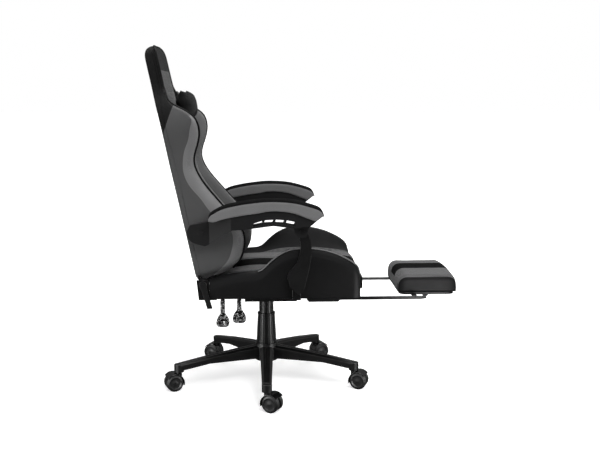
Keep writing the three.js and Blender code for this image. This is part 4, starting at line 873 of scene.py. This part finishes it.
def seat_pad():
    crown = [(a * seat_length, b * (SEAT_TOP - PAD_FLOOR)) for a, b in SEAT_SHARES]
    levels = stations(SEAT_REAR, SEAT_FRONT, 60)
    across = 56

    def high(x, y):
        return PAD_FLOOR + along(crown, x - SEAT_REAR) - channel(y, STRIPE_HALF, 0.006, 0.008)

    rings = pad_rings(
        levels, across, lambda x: SEAT_HALF, lambda x: PAD_FLOOR, high, SEAT_CROWN, SEAT_EDGE,
        in_chair, SEAM_GAP,
    )

    def band(i, k):
        """The black stripe, wider toward the front, and the black front edge."""
        short = levels[i] - SEAT_FRONT
        if short > -SEAT_NOSE_BLACK:
            return 1
        y = SEAT_HALF * math.cos(math.pi * (k + 0.5) / across)
        flare = STRIPE_FLARE * smooth_share(1 + short / STRIPE_FLARE_RUN)
        return 1 if k < across and abs(y) < STRIPE_HALF + flare else 0

    pad = loft("seat_centre_pad", rings, [centre_cloth, stripe_painted_shade_cloth], band)
    subdivide(pad)
    rumple(pad, 1.5 * MILLIMETRE, 0.08, 13)
    finish_piece(pad, "seat", "grey_mesh", "seat_cushion", fill=0.7)


def seam_height(share):
    return PAD_FLOOR + (BOLSTER_CREST - PAD_FLOOR) * along(SEAM_SHARES, share)


def seat_bolster(hand, side):
    """Side bolster: black side panel, bevelled band, grey piping, black top."""
    inner = SEAT_HALF + SEAM_GAP
    width = SIDE_HALF - inner
    rings, pipe = [], []
    mm = MILLIMETRE
    for x in stations(SIDE_REAR, SIDE_FRONT, 60):
        share = (x - SIDE_REAR) / side_length
        seam = seam_height(share)
        nose = round_drop(SIDE_FRONT - x, SEAT_EDGE)
        outer = SIDE_HALF - nose
        tall = seam - PAD_FLOOR
        arc = PAD_FLOOR + max(tall - SIDE_SEAM_DROP, 0.55 * tall)
        middle = min(PAD_FLOOR + (SEAT_TOP - PAD_FLOOR) * 0.8, seam - 0.3 * mm)
        crest = seam + SEAT_CROWN / 2
        skirt = min(PAN_HALF + 0.3 * mm, outer - SEAT_CROWN)
        foot = PAD_FLOOR - SKIRT_DROP
        hem = PAD_FLOOR - LIP_DROP
        lip = min(LIP_INNER, outer - 5 * mm)
        section = [
            (inner, PAD_FLOOR), (skirt, PAD_FLOOR), (skirt, foot), (lip, foot), (lip, hem),
            (outer - 1.5 * mm, hem), (outer - 0.5 * mm, hem + 4 * mm),
            (outer, mix(PAD_FLOOR, arc, 0.5)), (outer - 0.5 * mm, arc - 2 * mm),
            (outer - 2 * mm, arc), (outer - 2.5 * mm, arc + 2 * mm),
            (outer - 6 * mm, mix(arc, seam, 0.6)), (outer - 11 * mm, seam - 1.5 * mm),
            (outer - 13.5 * mm, seam - 1 * mm), (outer - 15 * mm, seam + 1 * mm),
            (mix(inner, outer, 0.8), crest), (mix(inner, outer, 0.65), crest - 1 * mm),
            (inner + width * 0.51, mix(middle, crest, 0.62)),
            (inner + width * 0.3, mix(middle, crest, 0.25)), (inner, middle),
        ]
        rings.append([in_chair(x, side * y, z) for y, z in section])
        if x > SEAT_PIPE_REAR:
            pipe.append(in_chair(x, side * (outer - 12.6 * mm), seam + 0.6 * mm))
    last = len(section) - 2
    bolster = loft(
        f"seat_side_{hand}", rings, [black_leather, centre_cloth], lambda i, k: int(k == last),
    )
    subdivide(bolster)
    rumple(bolster, 1.2 * MILLIMETRE, 0.08, 17)
    finish_piece(bolster, "seat", "black_cloth", f"seat_bolster_{hand}", fill=0.7)
    cord = tube(f"seat_piping_{hand}", pipe[:-1], SEAT_PIPE_RADIUS, piping_grey)
    finish_piece(cord, "seat", "light_grey_cloth")


# Armrests

arm_length = ARM_FRONT - ARM_REAR


def arm_top(x):
    rise = ARM_PEAK - ARM_TIP
    return ARM_TIP + rise * along(ARM_TOP_SHARES, (x - ARM_REAR) / arm_length)


def arm_low(x):
    return arm_top(x) - ARM_THICK * along(ARM_THICK_SHARES, (x - ARM_REAR) / arm_length)


def arm_pad(hand, side):
    """Grey sides and a black top, rounded at the tip."""
    levels = stations(ARM_REAR, ARM_FRONT, 44)
    across = 20

    def high(x, y):
        return arm_top(x) - 0.003 * (y / ARM_HALF) ** 2

    def place(x, y, z):
        return in_chair(x, side * ARM_Y + y, z)

    rings = pad_rings(
        levels, across, lambda x: ARM_HALF, arm_low, high, ARM_ROUND, ARM_ROUND, place, 0.0008,
    )

    def band(i, k):
        return 1 if 2 <= k < across - 2 else 0

    pad = loft(f"arm_cover_{hand}", rings, [arm_cloth, stripe_painted_shade_cloth], band)
    subdivide(pad)
    finish_piece(pad, f"armrest_{hand}", "light_grey_cloth", f"armrest_pad_{hand}", fill=0.5)


# Footrest

def footrest_pad():
    levels = stations(FOOT_REAR, FOOT_FRONT, 40)
    across = 40

    def high(x, y):
        return FOOT_TOP - SEAT_CROWN * (y / FOOT_HALF) ** 2

    rings = pad_rings(
        levels, across, lambda x: FOOT_HALF, lambda x: FOOT_FLOOR, high, FOOT_ROUND,
        FOOT_END_ROUND, in_chair, 0.003,
    )

    def band(i, k):
        if k >= across:
            return 2
        y = FOOT_HALF * math.cos(math.pi * (k + 0.5) / across)
        if abs(y) < FOOT_STRIPE:
            return 1
        return 2 if abs(y) > FOOT_HALF * 0.97 else 0

    pad = loft("footrest_cover", rings, [centre_cloth, stripe_painted_shade_cloth, black_leather], band)
    subdivide(pad)
    rumple(pad, 1.0 * MILLIMETRE, 0.06, 21)
    finish_piece(pad, "footrest_pad", "grey_mesh", "footrest_pad", fill=0.7)


# Floor, light and camera

FLOOR_REACH = 40
FLOOR_GREY = 0.8
MIRRORED_NEAR, MIRRORED_FAR = 0.06, 0.5

# What shiny pieces mirror: the dark side of the room and the soft boxes left, right and above
WORLD_FILL = 0.32
ROOM_DARK = 0.06
ROOM_LIGHT = 0.2
SOFT_BOXES = [
    ((-0.85, -0.5, 0.1), 3.5), ((0.85, -0.5, 0.1), 3.0), ((0, 0.1, 0.95), 8.0),
    ((-0.35, -0.85, 0.4), 2.2),
]
BOX_EDGE, BOX_CORE = 0.89, 0.96

# Name, place, size and power of each soft lamp
LAMPS = [
    ("key", (0.9, -2.2, 3.0), 1.6, 95), ("fill", (-2.4, -1.8, 1.6), 1.6, 14),
    ("top", (0.2, 0.6, 3.4), 2.0, 60), ("front", (2.6, 0.9, 1.5), 1.2, 22),
]

# Upright lamps that only show in the gloss of the lift and the base
STRIP_PLACE = (0.62, -0.47, 0.17)
STRIP_WIDTH, STRIP_HEIGHT, STRIP_POWER = 0.36, 0.42, 7.5


def even_grey(level):
    return (level, level, level)


def studio_floor():
    """White paper to the camera, with the shadow kept, and dim to anything shiny."""
    floor_mesh = bpy.data.meshes.new("floor")
    r = FLOOR_REACH
    floor_mesh.from_pydata([(-r, -r, 0), (r, -r, 0), (r, r, 0), (-r, r, 0)], [], [(0, 1, 2, 3)])
    floor = bpy.data.objects.new("floor", floor_mesh)
    bpy.context.scene.collection.objects.link(floor)
    material, tree, bsdf = shader("floor_paper", even_grey(FLOOR_GREY), 0.9)
    rays = add_node(tree, "ShaderNodeLightPath")
    reach_from_chair = add_node(tree, "ShaderNodeVectorMath", operation="LENGTH")
    tree.links.new(object_place(tree), reach_from_chair.inputs[0])
    glow = add_node(tree, "ShaderNodeMapRange")
    glow.inputs["From Min"].default_value = 0.7
    glow.inputs["From Max"].default_value = 2.4
    glow.inputs["To Min"].default_value = 0.58
    glow.inputs["To Max"].default_value = 1.0
    tree.links.new(reach_from_chair.outputs["Value"], glow.inputs["Value"])
    seen = add_node(tree, "ShaderNodeMath", operation="MULTIPLY")
    tree.links.new(glow.outputs["Result"], seen.inputs[0])
    tree.links.new(rays.outputs["Is Camera Ray"], seen.inputs[1])
    bsdf.inputs["Emission Color"].default_value = (1, 1, 1, 1)
    tree.links.new(seen.outputs["Value"], bsdf.inputs["Emission Strength"])
    split = add_node(tree, "ShaderNodeSeparateXYZ")
    tree.links.new(object_place(tree), split.inputs[0])
    near, far = even_grey(MIRRORED_NEAR), even_grey(MIRRORED_FAR)
    paper = ramp(tree, split.outputs["Y"], 0.4, 1.6, near, far)
    colour = add_node(tree, "ShaderNodeMix", data_type="RGBA")
    colour.inputs[6].default_value = (*even_grey(FLOOR_GREY), 1)
    tree.links.new(rays.outputs["Is Glossy Ray"], colour.inputs[0])
    tree.links.new(paper, colour.inputs[7])
    tree.links.new(colour.outputs[2], bsdf.inputs["Base Color"])
    floor_mesh.materials.append(material)


def studio_world():
    """Pure white to the camera, a soft fill to cloth, and a dim room to anything shiny."""
    world = bpy.data.worlds.new("studio")
    bpy.context.scene.world = world
    world.use_nodes = True
    background = world.node_tree.nodes["Background"]
    background.inputs["Color"].default_value = (1, 1, 1, 1)
    tree = world.node_tree
    rays = add_node(tree, "ShaderNodeLightPath")
    strength = add_node(tree, "ShaderNodeMapRange")
    strength.inputs["To Min"].default_value = WORLD_FILL
    strength.inputs["To Max"].default_value = 1.0
    tree.links.new(rays.outputs["Is Camera Ray"], strength.inputs["Value"])
    mirrored = add_node(tree, "ShaderNodeMix", data_type="FLOAT")
    tree.links.new(rays.outputs["Is Glossy Ray"], mirrored.inputs[0])
    tree.links.new(strength.outputs["Result"], mirrored.inputs[2])
    tree.links.new(room_seen_in_gloss(tree), mirrored.inputs[3])
    tree.links.new(mirrored.outputs[0], background.inputs["Strength"])


def studio_lamps():
    for settings in LAMPS:
        lamp(*settings)
    both_sides(strip_lamp)


def room_seen_in_gloss(tree):
    """A dim room, darker on the camera's side, with soft boxes in it."""
    way = add_node(tree, "ShaderNodeTexCoord").outputs["Generated"]
    split = add_node(tree, "ShaderNodeSeparateXYZ")
    tree.links.new(way, split.inputs[0])
    total = add_node(tree, "ShaderNodeMapRange")
    total.inputs["From Min"].default_value = -0.2
    total.inputs["From Max"].default_value = 0.5
    total.inputs["To Min"].default_value = ROOM_DARK
    total.inputs["To Max"].default_value = ROOM_LIGHT
    tree.links.new(split.outputs["Y"], total.inputs["Value"])
    level = total.outputs["Result"]
    for direction, power in SOFT_BOXES:
        turn = add_node(tree, "ShaderNodeVectorMath", operation="DOT_PRODUCT")
        turn.inputs[1].default_value = Vector(direction).normalized()
        tree.links.new(way, turn.inputs[0])
        box = add_node(tree, "ShaderNodeMapRange", interpolation_type="SMOOTHSTEP")
        box.inputs["From Min"].default_value = BOX_EDGE
        box.inputs["From Max"].default_value = BOX_CORE
        box.inputs["To Max"].default_value = power
        tree.links.new(turn.outputs["Value"], box.inputs["Value"])
        both = add_node(tree, "ShaderNodeMath", operation="ADD")
        tree.links.new(level, both.inputs[0])
        tree.links.new(box.outputs["Result"], both.inputs[1])
        level = both.outputs["Value"]
    return level


def lamp(name, place, size, power, tall=None, aim=0.55):
    """Soft lamp, turned toward the column at the height aim."""
    data = bpy.data.lights.new(name, "AREA")
    data.energy = power
    data.size = size
    if tall:
        data.shape = "RECTANGLE"
        data.size_y = tall
    light = bpy.data.objects.new(name, data)
    light.location = in_chair(*place)
    target = in_chair(0, 0, aim)
    light.rotation_euler = (target - light.location).to_track_quat("-Z", "Y").to_euler()
    bpy.context.scene.collection.objects.link(light)
    return light


def strip_lamp(hand, side):
    x, y, z = STRIP_PLACE
    strip = lamp(f"strip_{hand}", (side * x, y, z), STRIP_WIDTH, STRIP_POWER, STRIP_HEIGHT, z)
    strip.visible_diffuse = False
    strip.visible_camera = False


# Camera measured from the photograph, from the chair's own origin
CAMERA_PLACE = (-0.0026, -3.1393, 1.0404)
CAMERA_PITCH = math.radians(8.555)
CAMERA_YAW = math.radians(-2.261)
CAMERA_LENS = 53.61


def camera():
    data = bpy.data.cameras.new("camera")
    data.lens = CAMERA_LENS
    data.sensor_width = 36
    view = bpy.data.objects.new("camera", data)
    view.location = in_chair(*CAMERA_PLACE)
    view.rotation_euler = (math.pi / 2 - CAMERA_PITCH, 0, CAMERA_YAW)
    bpy.context.scene.collection.objects.link(view)
    bpy.context.scene.camera = view


dress_nodes()
both_sides(back_wing)
back_shell()
back_hem()
back_pad()
head_pad()
pillow("neck_cushion", pillow_cloth, *NECK_PILLOW)
pillow("lumbar_cushion", lumbar_cloth, *LUMBAR_PILLOW)
seat_pad()
both_sides(seat_bolster)
both_sides(arm_pad)
footrest_pad()
studio_floor()
studio_world()
studio_lamps()
camera()
bpy.context.scene.view_settings.view_transform = "Standard"
